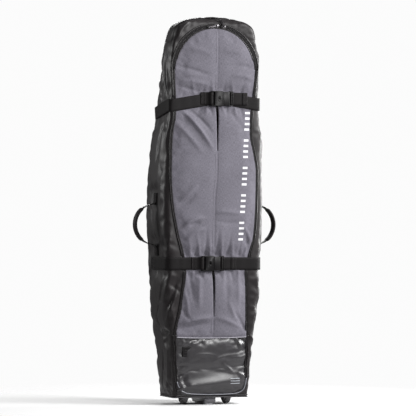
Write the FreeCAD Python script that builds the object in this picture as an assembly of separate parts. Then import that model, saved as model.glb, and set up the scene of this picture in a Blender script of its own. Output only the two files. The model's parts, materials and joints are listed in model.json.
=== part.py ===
"""Wheeled board bag that stands upright: padded shell, zipped lid, straps, handles, base and wheels.

Millimetres. +Z is up, the front (lid) faces -Y and the base runs on the plane Z = 0.
"""
import FreeCAD
import Part
import math
import os
from collections import namedtuple

V = FreeCAD.Vector
X_AXIS = V(1, 0, 0)
Y_AXIS = V(0, 1, 0)
Z_AXIS = V(0, 0, 1)

# ---------------------------------------------------------------- driving dimensions
# One level of the bag: half width, front and back faces, and the radii of its corners.
Level = namedtuple("Level", "z half front back front_radius back_radius")
BODY = [
    Level(34, 158, -85, 93, 12, 24),
    Level(166, 168, -90, 115, 12, 35),
    Level(279, 176, -95, 130, 15, 40),
    Level(376, 189, -102, 138, 20, 45),
    Level(489, 196, -108, 142, 24, 50),
    Level(569, 200, -111, 143, 25, 50),
    Level(779, 209, -111, 144, 25, 50),
    Level(1005, 202, -111, 130, 20, 45),
    Level(1150, 190, -111, 97, 12, 40),
    Level(1247, 185, -111, 70, 6, 36),
    Level(1340, 186, -111, 27, 3, 34),
    Level(1400, 182, -111, 18, 3, 32),
    Level(1456, 172, -111, 12, 4, 30),
    Level(1504, 160, -111, -6, 4, 28),
    Level(1524, 134, -111, -16, 6, 22),
    Level(1536, 96, -104, -26, 8, 18),
    Level(1543, 54, -92, -38, 10, 14),
]
# Seams that bound the lid and the boot panel: height, left x and right x.
SEAMS = [
    (34, -147, 147), (120, -152, 148), (285, -160, 151), (376, -145, 147), (480, -131, 143),
    (540, -127, 142), (600, -137, 156), (690, -160, 176), (820, -183, 183), (930, -190, 184),
    (1010, -190, 172), (1081, -186, 158), (1142, -176, 160), (1200, -174, 166), (1266, -178, 174),
    (1340, -182, 182), (1400, -178, 178), (1456, -167, 167), (1504, -155, 155),
]
WALL = 3.0                  # cover cloth with its lining
FOAM = 5.0                  # padding sheet behind the back and the sides
FOAM_GAP = 0.5
MIN_RADIUS = 1.0
MIDDLE_Y = -60.0            # divides the front wall from the back wall
BASE_TOP = 34.0
BOOT_TOP = 285.0            # the glossy lower panel ends and the grey lid begins
GUSSET_TOP = 1470.0
SEAM_GAP = 0.4
SEAM_X = 6.0                # centre seam of the lid

# Lid flap and its zip, a half circle above the fold line
FOLD_Z = 1340.0
FRONT_Y = -111.0            # the flat front of the upper half
FLAP_R = 166.5
FLAP_ZIP = (167.0, 173.0)
ZIP_R = 174.0
BAG_ZIP = (175.0, 181.0)
OPENING_R = 181.5
ZIP_THICK = 2.8
ZIP_PROUD = 2.4             # how far the chain stands in front of the cloth
SIDE_ZIP_WIDTH = 12.0
BORDER_Z = 1365.0           # the cloth beside the arch begins above the fold

# Sliders sit near the top of the arch; angles from straight up, positive to +X
SLIDER_ANGLES = {"left": 1.0, "right": 11.0}
PULL_TURNS = {"left": -13.0, "right": 55.0}
PULL_TILTS = {"left": 0.0, "right": -15.0}
SLIDER_HALF = 8.0
PULL_LENGTH = 37.0

# Straps and buckles
WEB_WIDE = 50.0
WEB_THICK = 2.0
WEB_GAP = 1.2
SIDE_GAP = 3.5
UPPER_BUCKLE = V(26, -114, 1224)
LOWER_BUCKLE = V(-9, -114, 566)
BUCKLE_HALF = 47.0
BUCKLE_TALL = 60.0
BUCKLE_DEEP = 14.0

# Side handles
HANDLE_AXIS_X = 221.0
HANDLE_Z = (640.0, 801.0)
HANDLE_REACH = 75.0
HANDLE_WIDE = 30.0
HANDLE_THICK = 4.0
ROOT_GAP = 1.8              # between an anchor's root and the handle's hinge line
GRIP_WALL = 2.6
GRIP_HALF_ANGLE = 52.0

# Haul loop on the crown
HAUL_Y = -65.0
HAUL_Z = 1545.0
HAUL_HALF = 33.0
HAUL_RISE = 10.0
HAUL_WIDE = 25.0
HAUL_THICK = 2.4

# Base, wheels and foot
TRAY_BOTTOM = 28.0
TRAY_LIP = 2.5
WHEEL_X = 91.0
WHEEL_Y = -10.0
WHEEL_R = 38.0
TYRE_WIDE = 25.0
HUB_R = 25.0
BEARING_R = 11.0
BEARING_WIDE = 7.0
AXLE_R = 4.0
RUNNING_GAP = 0.05
WELL_HALF = 16.0
WELL_R = 43.0
WELL_WALL = 3.0
FLANGE_TOP = 36.8
RIVET_R = 2.4
FOOT_Y = (-78.0, 82.0)
FOOT_HALF = 22.5
STRIP_THICK = 5.0


# ---------------------------------------------------------------- basic solids
def box(x0, x1, y0, y1, z0, z1):
    """Block between two corners."""
    return Part.makeBox(x1 - x0, y1 - y0, z1 - z0, V(x0, y0, z0))


def rod(centre, axis, radius, length):
    """Cylinder centred on a point."""
    direction = V(axis).normalize()
    return Part.makeCylinder(radius, length, centre - direction * (length / 2), direction)


def prism(points, push):
    """Straight extrusion of a closed polygon."""
    return Part.Face(Part.makePolygon(points + points[:1])).extrude(push)


def ruled(wires):
    """Closed solid with straight rulings from each wire to the next."""
    return Part.makeLoft(wires, True, True)


def group(shapes):
    """Several separate solids kept in one node."""
    return Part.makeCompound(shapes)


def mirrored(shape):
    """The same piece on the other side of the bag."""
    return shape.mirror(V(0, 0, 0), X_AXIS)


# ---------------------------------------------------------------- the bag's outline
def level_at(z):
    """The bag's level at any height, between the two nearest ones."""
    for low, high in zip(BODY, BODY[1:]):
        if z <= high.z:
            t = (z - low.z) / (high.z - low.z)
            return Level(z, *[a + t * (b - a) for a, b in zip(low[1:], high[1:])])
    return BODY[-1]


def levels_between(z0, z1):
    """Levels from one height to another, with those of the outline and seams in between."""
    heights = {level.z for level in BODY} | {seam[0] for seam in SEAMS}
    inner = [level_at(z) for z in sorted(heights) if z0 < z < z1]
    return [level_at(z0)] + inner + [level_at(z1)]


def seam_x(level, column):
    """Where a seam of the lid lies at a level; column 1 is the left seam and 2 the right."""
    for low, high in zip(SEAMS, SEAMS[1:]):
        if level.z <= high[0]:
            t = (level.z - low[0]) / (high[0] - low[0])
            return low[column] + t * (high[column] - low[column])
    return SEAMS[-1][column]


def left_seam(level):
    """The lid's left seam."""
    return seam_x(level, 1)


def right_seam(level):
    """The lid's right seam."""
    return seam_x(level, 2)


def outline(level, inset):
    """Rounded rectangle of one level, pulled in by an inset."""
    half = level.half - inset
    front = level.front + inset
    back = level.back - inset
    front_r = max(level.front_radius - inset, MIN_RADIUS)
    back_r = max(level.back_radius - inset, MIN_RADIUS)
    corners = [(half, back, back_r, 0), (-half, back, back_r, 90)]
    corners += [(-half, front, front_r, 180), (half, front, front_r, 270)]
    arcs = []
    for x, y, radius, start in corners:
        centre = V(x - math.copysign(radius, x), y + (radius if y == front else -radius), level.z)
        turn = [math.radians(start + step) for step in (0, 45, 90)]
        arcs.append([centre + V(math.cos(a), math.sin(a), 0) * radius for a in turn])
    edges = []
    for arc, after in zip(arcs, arcs[1:] + arcs[:1]):
        edges.append(Part.Arc(*arc).toShape())
        edges.append(Part.LineSegment(arc[2], after[0]).toShape())
    return Part.Wire(edges)


def body_solid(levels, inset):
    """The bag's outline as a closed solid."""
    return ruled([outline(level, inset) for level in levels])


def tapered_block(levels, x_low, x_high, y_low, y_high):
    """Block whose four sides follow the levels; each side is a function of a level."""
    wires = []
    for level in levels:
        x0, x1, y0, y1 = [side(level) for side in (x_low, x_high, y_low, y_high)]
        corners = [V(x0, y0, level.z), V(x1, y0, level.z), V(x1, y1, level.z), V(x0, y1, level.z)]
        wires.append(Part.makePolygon(corners + corners[:1]))
    return ruled(wires)


def back_edge(level):
    """Half width of the back panel, whose seams lie on the rounded corners."""
    return level.half - 0.6 * level.back_radius


# ---------------------------------------------------------------- padded shell
def shell():
    """The bag's wall all round, open at the base."""
    lowered = [level._replace(z=level.z - WALL) if level.z > 1504 else level for level in BODY]
    foot = [BODY[0]._replace(z=BODY[0].z - 5)]
    return body_solid(BODY, 0).cut(body_solid(foot + lowered[1:], WALL))


def front_core(z0, z1):
    """Everything in front of the middle between the two front seams."""
    return tapered_block(levels_between(z0, z1), left_seam, right_seam,
                         lambda s: s.front - 20, lambda s: MIDDLE_Y)


def back_core(z0, z1):
    """Everything behind the middle between the two back seams."""
    return tapered_block(levels_between(z0, z1), lambda s: -back_edge(s), back_edge,
                         lambda s: MIDDLE_Y, lambda s: s.back + 20)


def arch_disc(radius, y0, y1, above):
    """Half disc on the fold line, from y0 to y1."""
    disc = Part.makeCylinder(radius, y1 - y0, V(0, y0, FOLD_Z), Y_AXIS)
    return disc.common(box(-300, 300, y0, y1, FOLD_Z + above, FOLD_Z + 300))


def arch_ring(inner, outer, above):
    """Half ring of zip chain and tape along the arch."""
    y0 = FRONT_Y - ZIP_PROUD
    y1 = y0 + ZIP_THICK
    return arch_disc(outer, y0, y1, above).cut(arch_disc(inner, y0 - 1, y1 + 1, 0))


def left_half(shape):
    """The part of a front panel on the left of the centre seam."""
    return shape.common(box(-300, SEAM_X - SEAM_GAP / 2, -300, 300, 0, 1600))


def right_half(shape):
    """The part of a front panel on the right of the centre seam."""
    return shape.common(box(SEAM_X + SEAM_GAP / 2, 300, -300, 300, 0, 1600))


def shell_panels():
    """Back, sides, crown, lid halves and boot panel, cut from one wall."""
    wall = shell()
    lid = wall.common(front_core(BOOT_TOP + SEAM_GAP / 2, FOLD_Z - SEAM_GAP))
    boot = wall.common(front_core(BASE_TOP, BOOT_TOP - SEAM_GAP / 2))
    back = wall.common(back_core(BASE_TOP, GUSSET_TOP))
    lower = wall.common(box(-300, 300, -300, 300, 0, GUSSET_TOP))
    sides = lower.cut(front_core(BASE_TOP, GUSSET_TOP)).cut(back_core(BASE_TOP, GUSSET_TOP))
    crown = wall.common(box(-300, 300, -300, 300, GUSSET_TOP, 1600))
    border = wall.common(front_core(BORDER_Z, GUSSET_TOP))
    crown = crown.fuse(border).cut(arch_disc(OPENING_R, -200, MIDDLE_Y, -1)).removeSplitter()
    return {
        "back_panel": back,
        "left_gusset": sides.common(box(-300, 0, -300, 300, 0, 1600)),
        "right_gusset": sides.common(box(0, 300, -300, 300, 0, 1600)),
        "crown_panel": crown,
        "lid_left_panel": left_half(lid),
        "lid_right_panel": right_half(lid),
        "boot_panel": boot,
    }


def flap_panels():
    """Both halves of the flap that folds down at the top of the lid."""
    disc = arch_disc(FLAP_R, FRONT_Y, FRONT_Y + WALL, SEAM_GAP)
    return {"flap_left_panel": left_half(disc), "flap_right_panel": right_half(disc)}


def foam_pads():
    """Padding sheets behind the back panel and inside both sides."""
    levels = levels_between(95, 1440)
    start = WALL + FOAM_GAP
    sheet = body_solid(levels, start).cut(body_solid(levels, start + FOAM))
    back = sheet.common(tapered_block(levels, lambda s: s.back_radius - s.half,
                                      lambda s: s.half - s.back_radius,
                                      lambda s: MIDDLE_Y, lambda s: s.back + 20))
    side = sheet.common(tapered_block(levels, lambda s: s.half - s.back_radius + 1,
                                      lambda s: s.half + 20,
                                      lambda s: s.front + s.front_radius + 9,
                                      lambda s: s.back + 20))
    return {"back_foam": back, "right_foam": side, "left_foam": mirrored(side)}


# ---------------------------------------------------------------- zips, sliders and pulls
def zips():
    """Both half chains of the arch and the closed runs down the sides of the lid."""
    return {
        "flap_zip": arch_ring(FLAP_ZIP[0], FLAP_ZIP[1], 1),
        "arch_zip": arch_ring(BAG_ZIP[0], BAG_ZIP[1], 1),
        "left_side_zip": side_zip(lambda s: left_seam(s) + 1, lambda s: left_seam(s) + 1 + SIDE_ZIP_WIDTH),
        "right_side_zip": side_zip(lambda s: right_seam(s) - 1 - SIDE_ZIP_WIDTH, lambda s: right_seam(s) - 1),
    }


def side_zip(x_low, x_high):
    """Closed run of zip down one side of the lid, thinned under both straps."""
    run = tapered_block(levels_between(BOOT_TOP + 6, FOLD_Z - 14), x_low, x_high,
                        lambda s: s.front - ZIP_PROUD - 0.3, lambda s: s.front - 0.3)
    return run.cut(strap_room(UPPER_BUCKLE.z)).cut(strap_room(LOWER_BUCKLE.z))


def strap_room(z):
    """Band across the front that the webbing needs."""
    return box(-300, 300, -140, FRONT_Y - WEB_GAP + 0.3, z - 60, z + 40)


def slider(side):
    """Zip slider on the arch: face plate, key, tongue behind the flap's chain, and bail."""
    face_y = FRONT_Y - ZIP_PROUD - 1
    plate = box(-SLIDER_HALF, SLIDER_HALF, face_y - 3, face_y, -6, 6)
    tongue = box(-SLIDER_HALF + 2, SLIDER_HALF - 2, FRONT_Y + 1, FRONT_Y + 2.4, -6, -0.7)
    key = box(-3, 3, face_y - 1, FRONT_Y + 2.4, -0.7, 0.7)
    bail = bail_posts(face_y - 3).fuse(rod(V(0, face_y - 6.5, 0), Z_AXIS, 1.2, 8))
    bail.rotate(V(0, 0, 0), Y_AXIS, PULL_TURNS[side])
    return on_arch(plate.fuse([tongue, key, bail]).removeSplitter(), side)


def bail_posts(face_y):
    """The two cheeks that hold the pull's pin."""
    low = box(-1.5, 1.5, face_y - 4.7, face_y + 0.5, -5.2, -3.6)
    return low.fuse(low.mirror(V(0, 0, 0), Z_AXIS))


def pull(side):
    """Pull tab with an eye round the pin and a waisted grip."""
    pin_y = FRONT_Y - ZIP_PROUD - 1 - 3 - 3.5
    eye = rod(V(0, pin_y, 0), Z_AXIS, 3, 6.4)
    tab_outline = [V(-2.5, 0, 2.6), V(-9, 0, 2.6), V(-13, 0, 4), V(-PULL_LENGTH + 3, 0, 4.5)]
    tab_outline += [V(-PULL_LENGTH, 0, 2.5)]
    tab_outline += [V(p.x, 0, -p.z) for p in reversed(tab_outline)]
    tab = prism([p + V(0, pin_y - 1, 0) for p in tab_outline], V(0, 2, 0))
    tab = tab.fuse(eye).cut(rod(V(0, pin_y, 0), Z_AXIS, 1.5, 9))
    tab = tab.cut(rod(V(-PULL_LENGTH + 7, pin_y, 0), Y_AXIS, 2, 9))
    tab.rotate(V(0, pin_y, 0), Z_AXIS, PULL_TILTS[side])
    tab.rotate(V(0, 0, 0), Y_AXIS, PULL_TURNS[side])
    return on_arch(tab, side)


def on_arch(shape, side):
    """Moves a piece modelled at the origin to its slider's place on the arch."""
    shape.translate(V(0, 0, FOLD_Z + ZIP_R))
    shape.rotate(V(0, 0, FOLD_Z), Y_AXIS, SLIDER_ANGLES[side])
    return shape


# ---------------------------------------------------------------- straps and buckles
def ribbon(stations):
    """Webbing through stations, each a point on its inner face and the way it faces."""
    wires = []
    for point, facing in stations:
        rise = V(0, 0, WEB_WIDE / 2)
        push = facing * WEB_THICK
        corners = [point - rise, point + rise, point + rise + push, point - rise + push]
        wires.append(Part.makePolygon(corners + corners[:1]))
    return ruled(wires)


def strap(side, start_x, start_z, corner_z, end_z, end_y):
    """One end of a strap: across the front, round the corner and back along the side."""
    low = level_at(min(corner_z, end_z) - WEB_WIDE / 2)
    high = level_at(max(corner_z, end_z) + WEB_WIDE / 2)
    half = max(low.half, high.half)
    radius = max(low.front_radius, high.front_radius)
    turn_r = radius + SIDE_GAP
    centre = V(half - radius, FRONT_Y - WEB_GAP + turn_r, corner_z)
    stations = [(V(side * start_x, FRONT_Y - WEB_GAP, start_z), V(0, -1, 0))]
    for angle in (0, 30, 60, 90):
        facing = V(math.sin(math.radians(angle)), -math.cos(math.radians(angle)), 0)
        stations.append((centre + facing * turn_r, facing))
    stations.append((V(half + SIDE_GAP, end_y, end_z), V(1, 0, 0)))
    placed = stations[:1]
    for point, facing in stations[1:]:
        placed.append((V(side * point.x, point.y, point.z), V(side * facing.x, facing.y, 0)))
    return ribbon(placed)


def folded_end(centre, x0, x1, layer):
    """Doubled end of webbing lying on the strap, as a flat tab."""
    outer = centre.y + 0.8 - layer * (WEB_THICK + 0.3)
    return box(x0, x1, outer - WEB_THICK, outer, centre.z - WEB_WIDE / 2, centre.z + WEB_WIDE / 2)


def straps():
    """Webbing of both compression straps, each in a left and a right length."""
    upper = UPPER_BUCKLE
    lower = LOWER_BUCKLE
    pieces = {
        "upper_strap_left": strap(-1, -(upper.x - BUCKLE_HALF - 1), 1222, 1194, 1166, 60),
        "upper_strap_right": strap(1, upper.x + 22, 1224, 1206, 1184, 60),
        "lower_strap_left": strap(-1, -(lower.x - BUCKLE_HALF - 1), 566, 566, 564, 70),
        "lower_strap_right": strap(1, lower.x + 22, 566, 566, 564, 70),
        "upper_strap_tail": folded_end(upper, upper.x + BUCKLE_HALF + 0.5, 136, 1.4),
        "lower_strap_tail": folded_end(lower, lower.x + BUCKLE_HALF + 0.5, 92, 1.4),
    }
    return pieces


def buckle_socket(centre):
    """Female half: a flat sleeve open towards +X, with a webbing bar at its other end."""
    front = -BUCKLE_DEEP
    tall = BUCKLE_TALL / 2
    body = box(-BUCKLE_HALF, 5, front, 0, -tall, tall)
    body = body.makeFillet(2.5, [e for e in body.Edges if abs(e.Vertexes[0].Y - e.Vertexes[1].Y) > 1])
    body = body.cut(box(-27, 6, front + 2.5, -2.5, -tall + 4, tall - 4))
    body = body.cut(box(-22, 6, front + 2.5, -2.5, -tall - 1, tall + 1))
    body = body.cut(box(-41, -33, front - 1, 1, -tall + 4, tall - 4))
    body = body.cut(box(-48, -31, front - 1, front + 4, -tall + 4, tall - 4))
    body.translate(centre)
    return body


def buckle_plug(centre):
    """Male half: base with a guide tongue and a ladder of two webbing slots."""
    tall = BUCKLE_TALL / 2
    base = box(7, 30, -BUCKLE_DEEP + 2, -2, -tall + 3, tall - 3)
    ladder = box(30, BUCKLE_HALF, -BUCKLE_DEEP + 3, -3, -tall, tall)
    tongue = box(-19, 8, -9.5, -4.5, -5, 5)
    body = base.fuse([ladder, tongue]).removeSplitter()
    for x in (32, 40):
        body = body.cut(box(x, x + 4.5, -BUCKLE_DEEP, 0, -tall + 4, tall - 4))
    body.translate(centre)
    return body


def buckle_prong(centre, upper):
    """Spring arm with its latch shoulder; the finger tab shows at the side of the buckle."""
    points = [(6.6, 12), (6.6, 16.5), (-4, 19), (-9, 28.5), (-13, 28.5), (-19.5, 22), (-19.5, 18)]
    points += [(-11, 17), (-6, 14)]
    sign = 1 if upper else -1
    arm = prism([V(x, -10.5, sign * z) for x, z in points], V(0, 7, 0))
    arm.translate(centre)
    return arm


def buckles():
    """Both side-release buckles, each in four pieces."""
    pieces = {}
    for name, centre in (("upper", UPPER_BUCKLE), ("lower", LOWER_BUCKLE)):
        pieces[name + "_buckle_socket"] = buckle_socket(centre)
        pieces[name + "_buckle_plug"] = buckle_plug(centre)
        pieces[name + "_prong_top"] = buckle_prong(centre, True)
        pieces[name + "_prong_bottom"] = buckle_prong(centre, False)
    return pieces


# ---------------------------------------------------------------- handles
def arc_band(centre, radius, thick, half_angle, wide):
    """Curved band in the XZ plane about a centre, bulging towards +X."""
    def point(r, degrees):
        a = math.radians(degrees)
        return V(centre.x + r * math.cos(a), -wide / 2, centre.z + r * math.sin(a))

    outer = radius + thick / 2
    inner = radius - thick / 2
    edges = [
        Part.Arc(point(outer, -half_angle), point(outer, 0), point(outer, half_angle)).toShape(),
        Part.LineSegment(point(outer, half_angle), point(inner, half_angle)).toShape(),
        Part.Arc(point(inner, half_angle), point(inner, 0), point(inner, -half_angle)).toShape(),
        Part.LineSegment(point(inner, -half_angle), point(outer, -half_angle)).toShape(),
    ]
    return Part.Face(Part.Wire(edges)).extrude(V(0, wide, 0))


def side_handle():
    """Right side handle: webbing loop, padded grip and the two sewn anchors."""
    middle = sum(HANDLE_Z) / 2
    chord = (HANDLE_Z[1] - HANDLE_Z[0]) / 2
    radius = (chord ** 2 + HANDLE_REACH ** 2) / (2 * HANDLE_REACH)
    centre = V(HANDLE_AXIS_X + HANDLE_REACH - radius, 0, middle)
    sweep = math.degrees(math.atan2(chord, HANDLE_AXIS_X - centre.x))
    loop = arc_band(centre, radius, HANDLE_THICK, sweep, HANDLE_WIDE)
    waist = [V(HANDLE_AXIS_X, -1.5, 0), V(HANDLE_AXIS_X + 15, -16, 0), V(400, -16, 0)]
    waist += [V(p.x, -p.y, 0) for p in reversed(waist)]
    loop = loop.common(prism(waist, V(0, 0, 1600)))
    padding = 2 * GRIP_WALL + 0.4
    grip = arc_band(centre, radius, HANDLE_THICK + padding, GRIP_HALF_ANGLE, HANDLE_WIDE + padding)
    grip = grip.cut(arc_band(centre, radius, HANDLE_THICK + 0.4, sweep, HANDLE_WIDE + 0.4))
    return {"handle": loop, "grip": grip, "anchors": handle_anchors()}


def handle_anchors():
    """Two patches sewn to the side, each with a short root that narrows to the hinge line."""
    pieces = []
    for z, outwards in zip(HANDLE_Z, (-1, 1)):
        wall = max(level_at(z).half, level_at(z + outwards * 44).half) + 0.5
        low, high = sorted((z - outwards * 6, z + outwards * 44))
        patch = box(wall, wall + 2.5, -18, 18, low, high)
        root = [V(wall + 2, -14, 0), V(HANDLE_AXIS_X - ROOT_GAP, -1.5, 0)]
        root += [V(p.x, -p.y, 0) for p in reversed(root)]
        strip = prism(root, V(0, 0, HANDLE_THICK))
        strip.translate(V(0, 0, z - HANDLE_THICK / 2))
        pieces.append(patch.fuse(strip).removeSplitter())
    return group(pieces)


def handles():
    """Both side handles."""
    pieces = {}
    for part, shape in side_handle().items():
        pieces["right_" + part] = shape
        pieces["left_" + part] = mirrored(shape)
    return pieces


def haul_loop():
    """Low webbing loop on the crown, narrowed at both ends where it is sewn down."""
    radius = (HAUL_HALF ** 2 + HAUL_RISE ** 2) / (2 * HAUL_RISE)
    sweep = math.degrees(math.asin(HAUL_HALF / radius))
    band = arc_band(V(0, 0, 0), radius, HAUL_THICK, sweep, HAUL_WIDE)
    band.rotate(V(0, 0, 0), Y_AXIS, -90)
    band.translate(V(0, HAUL_Y, HAUL_Z + HAUL_RISE - radius))
    edge = HAUL_WIDE / 2 + 1
    waist = [V(-HAUL_HALF, -1.5, 0), V(-HAUL_HALF + 13, -edge, 0), V(HAUL_HALF - 13, -edge, 0)]
    waist += [V(HAUL_HALF, -1.5, 0)]
    waist += [V(p.x, -p.y, 0) for p in reversed(waist)]
    return band.common(prism([p + V(0, HAUL_Y, 0) for p in waist], V(0, 0, 1700)))


# ---------------------------------------------------------------- trim on the boot panel
def trim_layer(z0, z1):
    """Thin skin lying just in front of the boot panel."""
    return tapered_block(levels_between(z0, z1), left_seam, right_seam,
                         lambda s: s.front - 1.7, lambda s: s.front - 0.3)


def boot_trim():
    """Corner patches, piping and the plain badge of the boot panel."""
    skin = trim_layer(BASE_TOP + 6, BOOT_TOP - 5)
    corner = [V(-147, -120, 40), V(-92, -120, 40), V(-147, -120, 118)]
    left_patch = skin.common(prism(corner, V(0, 60, 0)))
    badge = skin.common(box(-127, -87, -120, -60, 193, 233))
    pipes = []
    for seam, inwards in ((left_seam, 1), (right_seam, -1)):
        edges = sorted((inwards * 2, inwards * 7))
        pipes.append(tapered_block(levels_between(124, BOOT_TOP - 5), lambda s: seam(s) + edges[0],
                                   lambda s: seam(s) + edges[1], lambda s: s.front - 4,
                                   lambda s: s.front - 0.3))
    return {
        "corner_patches": group([left_patch, mirrored(left_patch)]),
        "boot_badge": badge,
        "boot_piping": group(pipes),
    }


# ---------------------------------------------------------------- base and wheels
def rivet_places():
    """Rivets through the flanges of both wheel housings."""
    spots = []
    for side in (-1, 1):
        for dx in (-24, 24):
            for dy in (-50, 50):
                spots.append(V(side * WHEEL_X + dx, WHEEL_Y + dy, 0))
    return spots


def foot_screw_places():
    """Screws that hold the skid foot under the tray."""
    return [V(0, y, 0) for y in (FOOT_Y[0] + 22, sum(FOOT_Y) / 2, FOOT_Y[1] - 22)]


def drilled(shape, places, radius):
    """A plate with a round hole at each place."""
    for place in places:
        shape = shape.cut(rod(place + V(0, 0, 30), Z_AXIS, radius, 60))
    return shape


def axle_notch():
    """Room for the heads of an axle beside its housing."""
    return box(-25, 25, -8, 8, 0, 60)


def base_tray():
    """Moulded tray under the bag, open over both wheels."""
    bottom = [BODY[0]._replace(z=TRAY_BOTTOM), BODY[0]._replace(z=BASE_TOP - 0.3)]
    tray = body_solid(bottom, -TRAY_LIP)
    for side in (-1, 1):
        well = box(-WELL_HALF - 3.5, WELL_HALF + 3.5, -WELL_R - 3.5, WELL_R + 3.5, 0, 60)
        well = well.fuse(axle_notch())
        well.translate(V(side * WHEEL_X, WHEEL_Y, 0))
        tray = tray.cut(well)
    return drilled(drilled(tray, rivet_places(), RIVET_R + 0.1), foot_screw_places(), 2.6)


def stiffener():
    """Flat board on the inside of the base, cut out round the wheel housings."""
    board = body_solid([BODY[0]._replace(z=FLANGE_TOP + 1.6), BODY[0]._replace(z=FLANGE_TOP + 4.6)], WALL + 1)
    for side in (-1, 1):
        room = box(-30, 30, -56, 56, 0, 60)
        room.translate(V(side * WHEEL_X, WHEEL_Y, 0))
        board = board.cut(room)
    return drilled(board, foot_screw_places(), 6)


def tombstone(half, radius, bottom):
    """Round-topped block about the axle line."""
    axle_z = WHEEL_R
    round_top = rod(V(0, 0, axle_z), X_AXIS, radius, 2 * half)
    return round_top.fuse(box(-half, half, -radius, radius, bottom, axle_z)).common(
        box(-half, half, -radius, radius, bottom, 200))


def wheel_housing(side):
    """Wheel well with a riveted flange and the two axle holes."""
    outer = tombstone(WELL_HALF + WELL_WALL, WELL_R + WELL_WALL, TRAY_BOTTOM + 0.5)
    flange = box(-28, 28, -55, 55, BASE_TOP, FLANGE_TOP).cut(axle_notch())
    well = outer.fuse(flange).cut(tombstone(WELL_HALF, WELL_R, 0))
    well = well.cut(rod(V(0, 0, WHEEL_R), X_AXIS, AXLE_R + 0.02, 60)).removeSplitter()
    well.translate(V(side * WHEEL_X, WHEEL_Y, 0))
    return drilled(well, rivet_places(), RIVET_R + 0.1)


def wheel_profile(points):
    """Ring turned about the wheel's axle from a half outline of x and radius."""
    outline_points = [V(x, 0, r) for x, r in points]
    face = Part.Face(Part.makePolygon(outline_points + outline_points[:1]))
    return face.revolve(V(0, 0, 0), X_AXIS, 360)


def tyre():
    """Cast tyre with a crowned tread."""
    half = TYRE_WIDE / 2
    inner = HUB_R + 0.02
    points = [(-half, inner), (-half, 31), (-10.5, 34.6), (-6.5, 37.2), (-2.2, WHEEL_R)]
    points += [(-x, r) for x, r in reversed(points)]
    return wheel_profile(points)


def hub():
    """Hub with a bearing seat, a thin web with five openings, and the rim under the tyre."""
    half = TYRE_WIDE / 2
    rim = [(-half + 1, 21.5), (-half + 1, HUB_R), (half - 1, HUB_R), (half - 1, 21.5)]
    core = [(-half, BEARING_R), (-half, 14), (half, 14), (half, BEARING_R)]
    web = [(-3, 13), (-3, 22), (3, 22), (3, 13)]
    body = wheel_profile(rim).fuse([wheel_profile(core), wheel_profile(web)]).removeSplitter()
    for turn in range(5):
        window = rod(V(0, 0, 17.8), X_AXIS, 2.9, 20)
        window.rotate(V(0, 0, 0), X_AXIS, 72 * turn)
        body = body.cut(window)
    return body


def bearings():
    """Two ball bearings in the hub, running on the axle."""
    outside = TYRE_WIDE / 2 - 0.5
    inside = outside - BEARING_WIDE
    inner = AXLE_R + RUNNING_GAP
    outer = BEARING_R - 0.02
    ring = [(inside, inner), (inside, outer), (outside, outer), (outside, inner)]
    return group([wheel_profile(ring), wheel_profile([(-x, r) for x, r in ring])])


def axle():
    """Axle with a spacer collar between the bearings, and heads outside the housing."""
    wall = WELL_HALF + WELL_WALL
    shaft = rod(V(0, 0, 0), X_AXIS, AXLE_R, 2 * wall + 4)
    spacer = rod(V(0, 0, 0), X_AXIS, AXLE_R + 1.6, 9)
    heads = [rod(V(side * (wall + 1.7), 0, 0), X_AXIS, 6.5, 3) for side in (-1, 1)]
    return shaft.fuse([spacer] + heads).removeSplitter()


def wheels():
    """Both wheels with their bearings and axles."""
    makers = {"tyre": tyre, "hub": hub, "bearings": bearings, "axle": axle}
    pieces = {}
    for side, name in ((-1, "left"), (1, "right")):
        for part, make in makers.items():
            shape = make()
            shape.translate(V(side * WHEEL_X, WHEEL_Y, WHEEL_R))
            pieces[name + "_" + part] = shape
    return pieces


def skid_foot():
    """Boat-shaped foot between the wheels."""
    y0, y1 = FOOT_Y
    top = TRAY_BOTTOM - 0.3
    side = [V(0, y0, top), V(0, y0, 15), V(0, y0 + 11, STRIP_THICK), V(0, y1 - 11, STRIP_THICK)]
    side += [V(0, y1, 15), V(0, y1, top)]
    foot = prism([p - V(FOOT_HALF, 0, 0) for p in side], V(2 * FOOT_HALF, 0, 0))
    return drilled(foot, foot_screw_places(), 2.6)


def wear_strip():
    """Smooth runner under the foot, on the same plane as the tyres."""
    y0, y1 = FOOT_Y
    side = [V(0, y0 + 12, STRIP_THICK - 0.2), V(0, y0 + 16, 0), V(0, y1 - 16, 0)]
    side += [V(0, y1 - 12, STRIP_THICK - 0.2)]
    return prism([p - V(15, 0, 0) for p in side], V(30, 0, 0))


def base_fasteners():
    """Rivets of the wheel housings and screws of the foot."""
    pieces = []
    for place in rivet_places():
        shank = rod(place + V(0, 0, 32), Z_AXIS, RIVET_R, 10.6)
        head = rod(place + V(0, 0, 27.2), Z_AXIS, 4.5, 1.4)
        tail = rod(place + V(0, 0, 37.55), Z_AXIS, 3.6, 1.3)
        pieces.append(shank.fuse([head, tail]).removeSplitter())
    for place in foot_screw_places():
        shank = rod(place + V(0, 0, 23.2), Z_AXIS, 2.4, 22)
        head = rod(place + V(0, 0, 35), Z_AXIS, 5, 2.4)
        pieces.append(shank.fuse(head).removeSplitter())
    return group(pieces)


def base_pieces():
    """Tray, housings, stiffener, foot and fasteners."""
    return {
        "base_tray": base_tray(),
        "base_board": stiffener(),
        "left_wheel_housing": wheel_housing(-1),
        "right_wheel_housing": wheel_housing(1),
        "skid_foot": skid_foot(),
        "wear_strip": wear_strip(),
        "base_fasteners": base_fasteners(),
    }


# ---------------------------------------------------------------- assembly
def assembly():
    """Every node of the bag by name."""
    pieces = {}
    for make in (shell_panels, flap_panels, foam_pads, zips, straps, buckles, handles, boot_trim,
                 base_pieces, wheels):
        pieces.update(make())
    for side in ("left", "right"):
        pieces[side + "_slider"] = slider(side)
        pieces[side + "_pull"] = pull(side)
    pieces["haul_loop"] = haul_loop()
    return pieces


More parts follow.
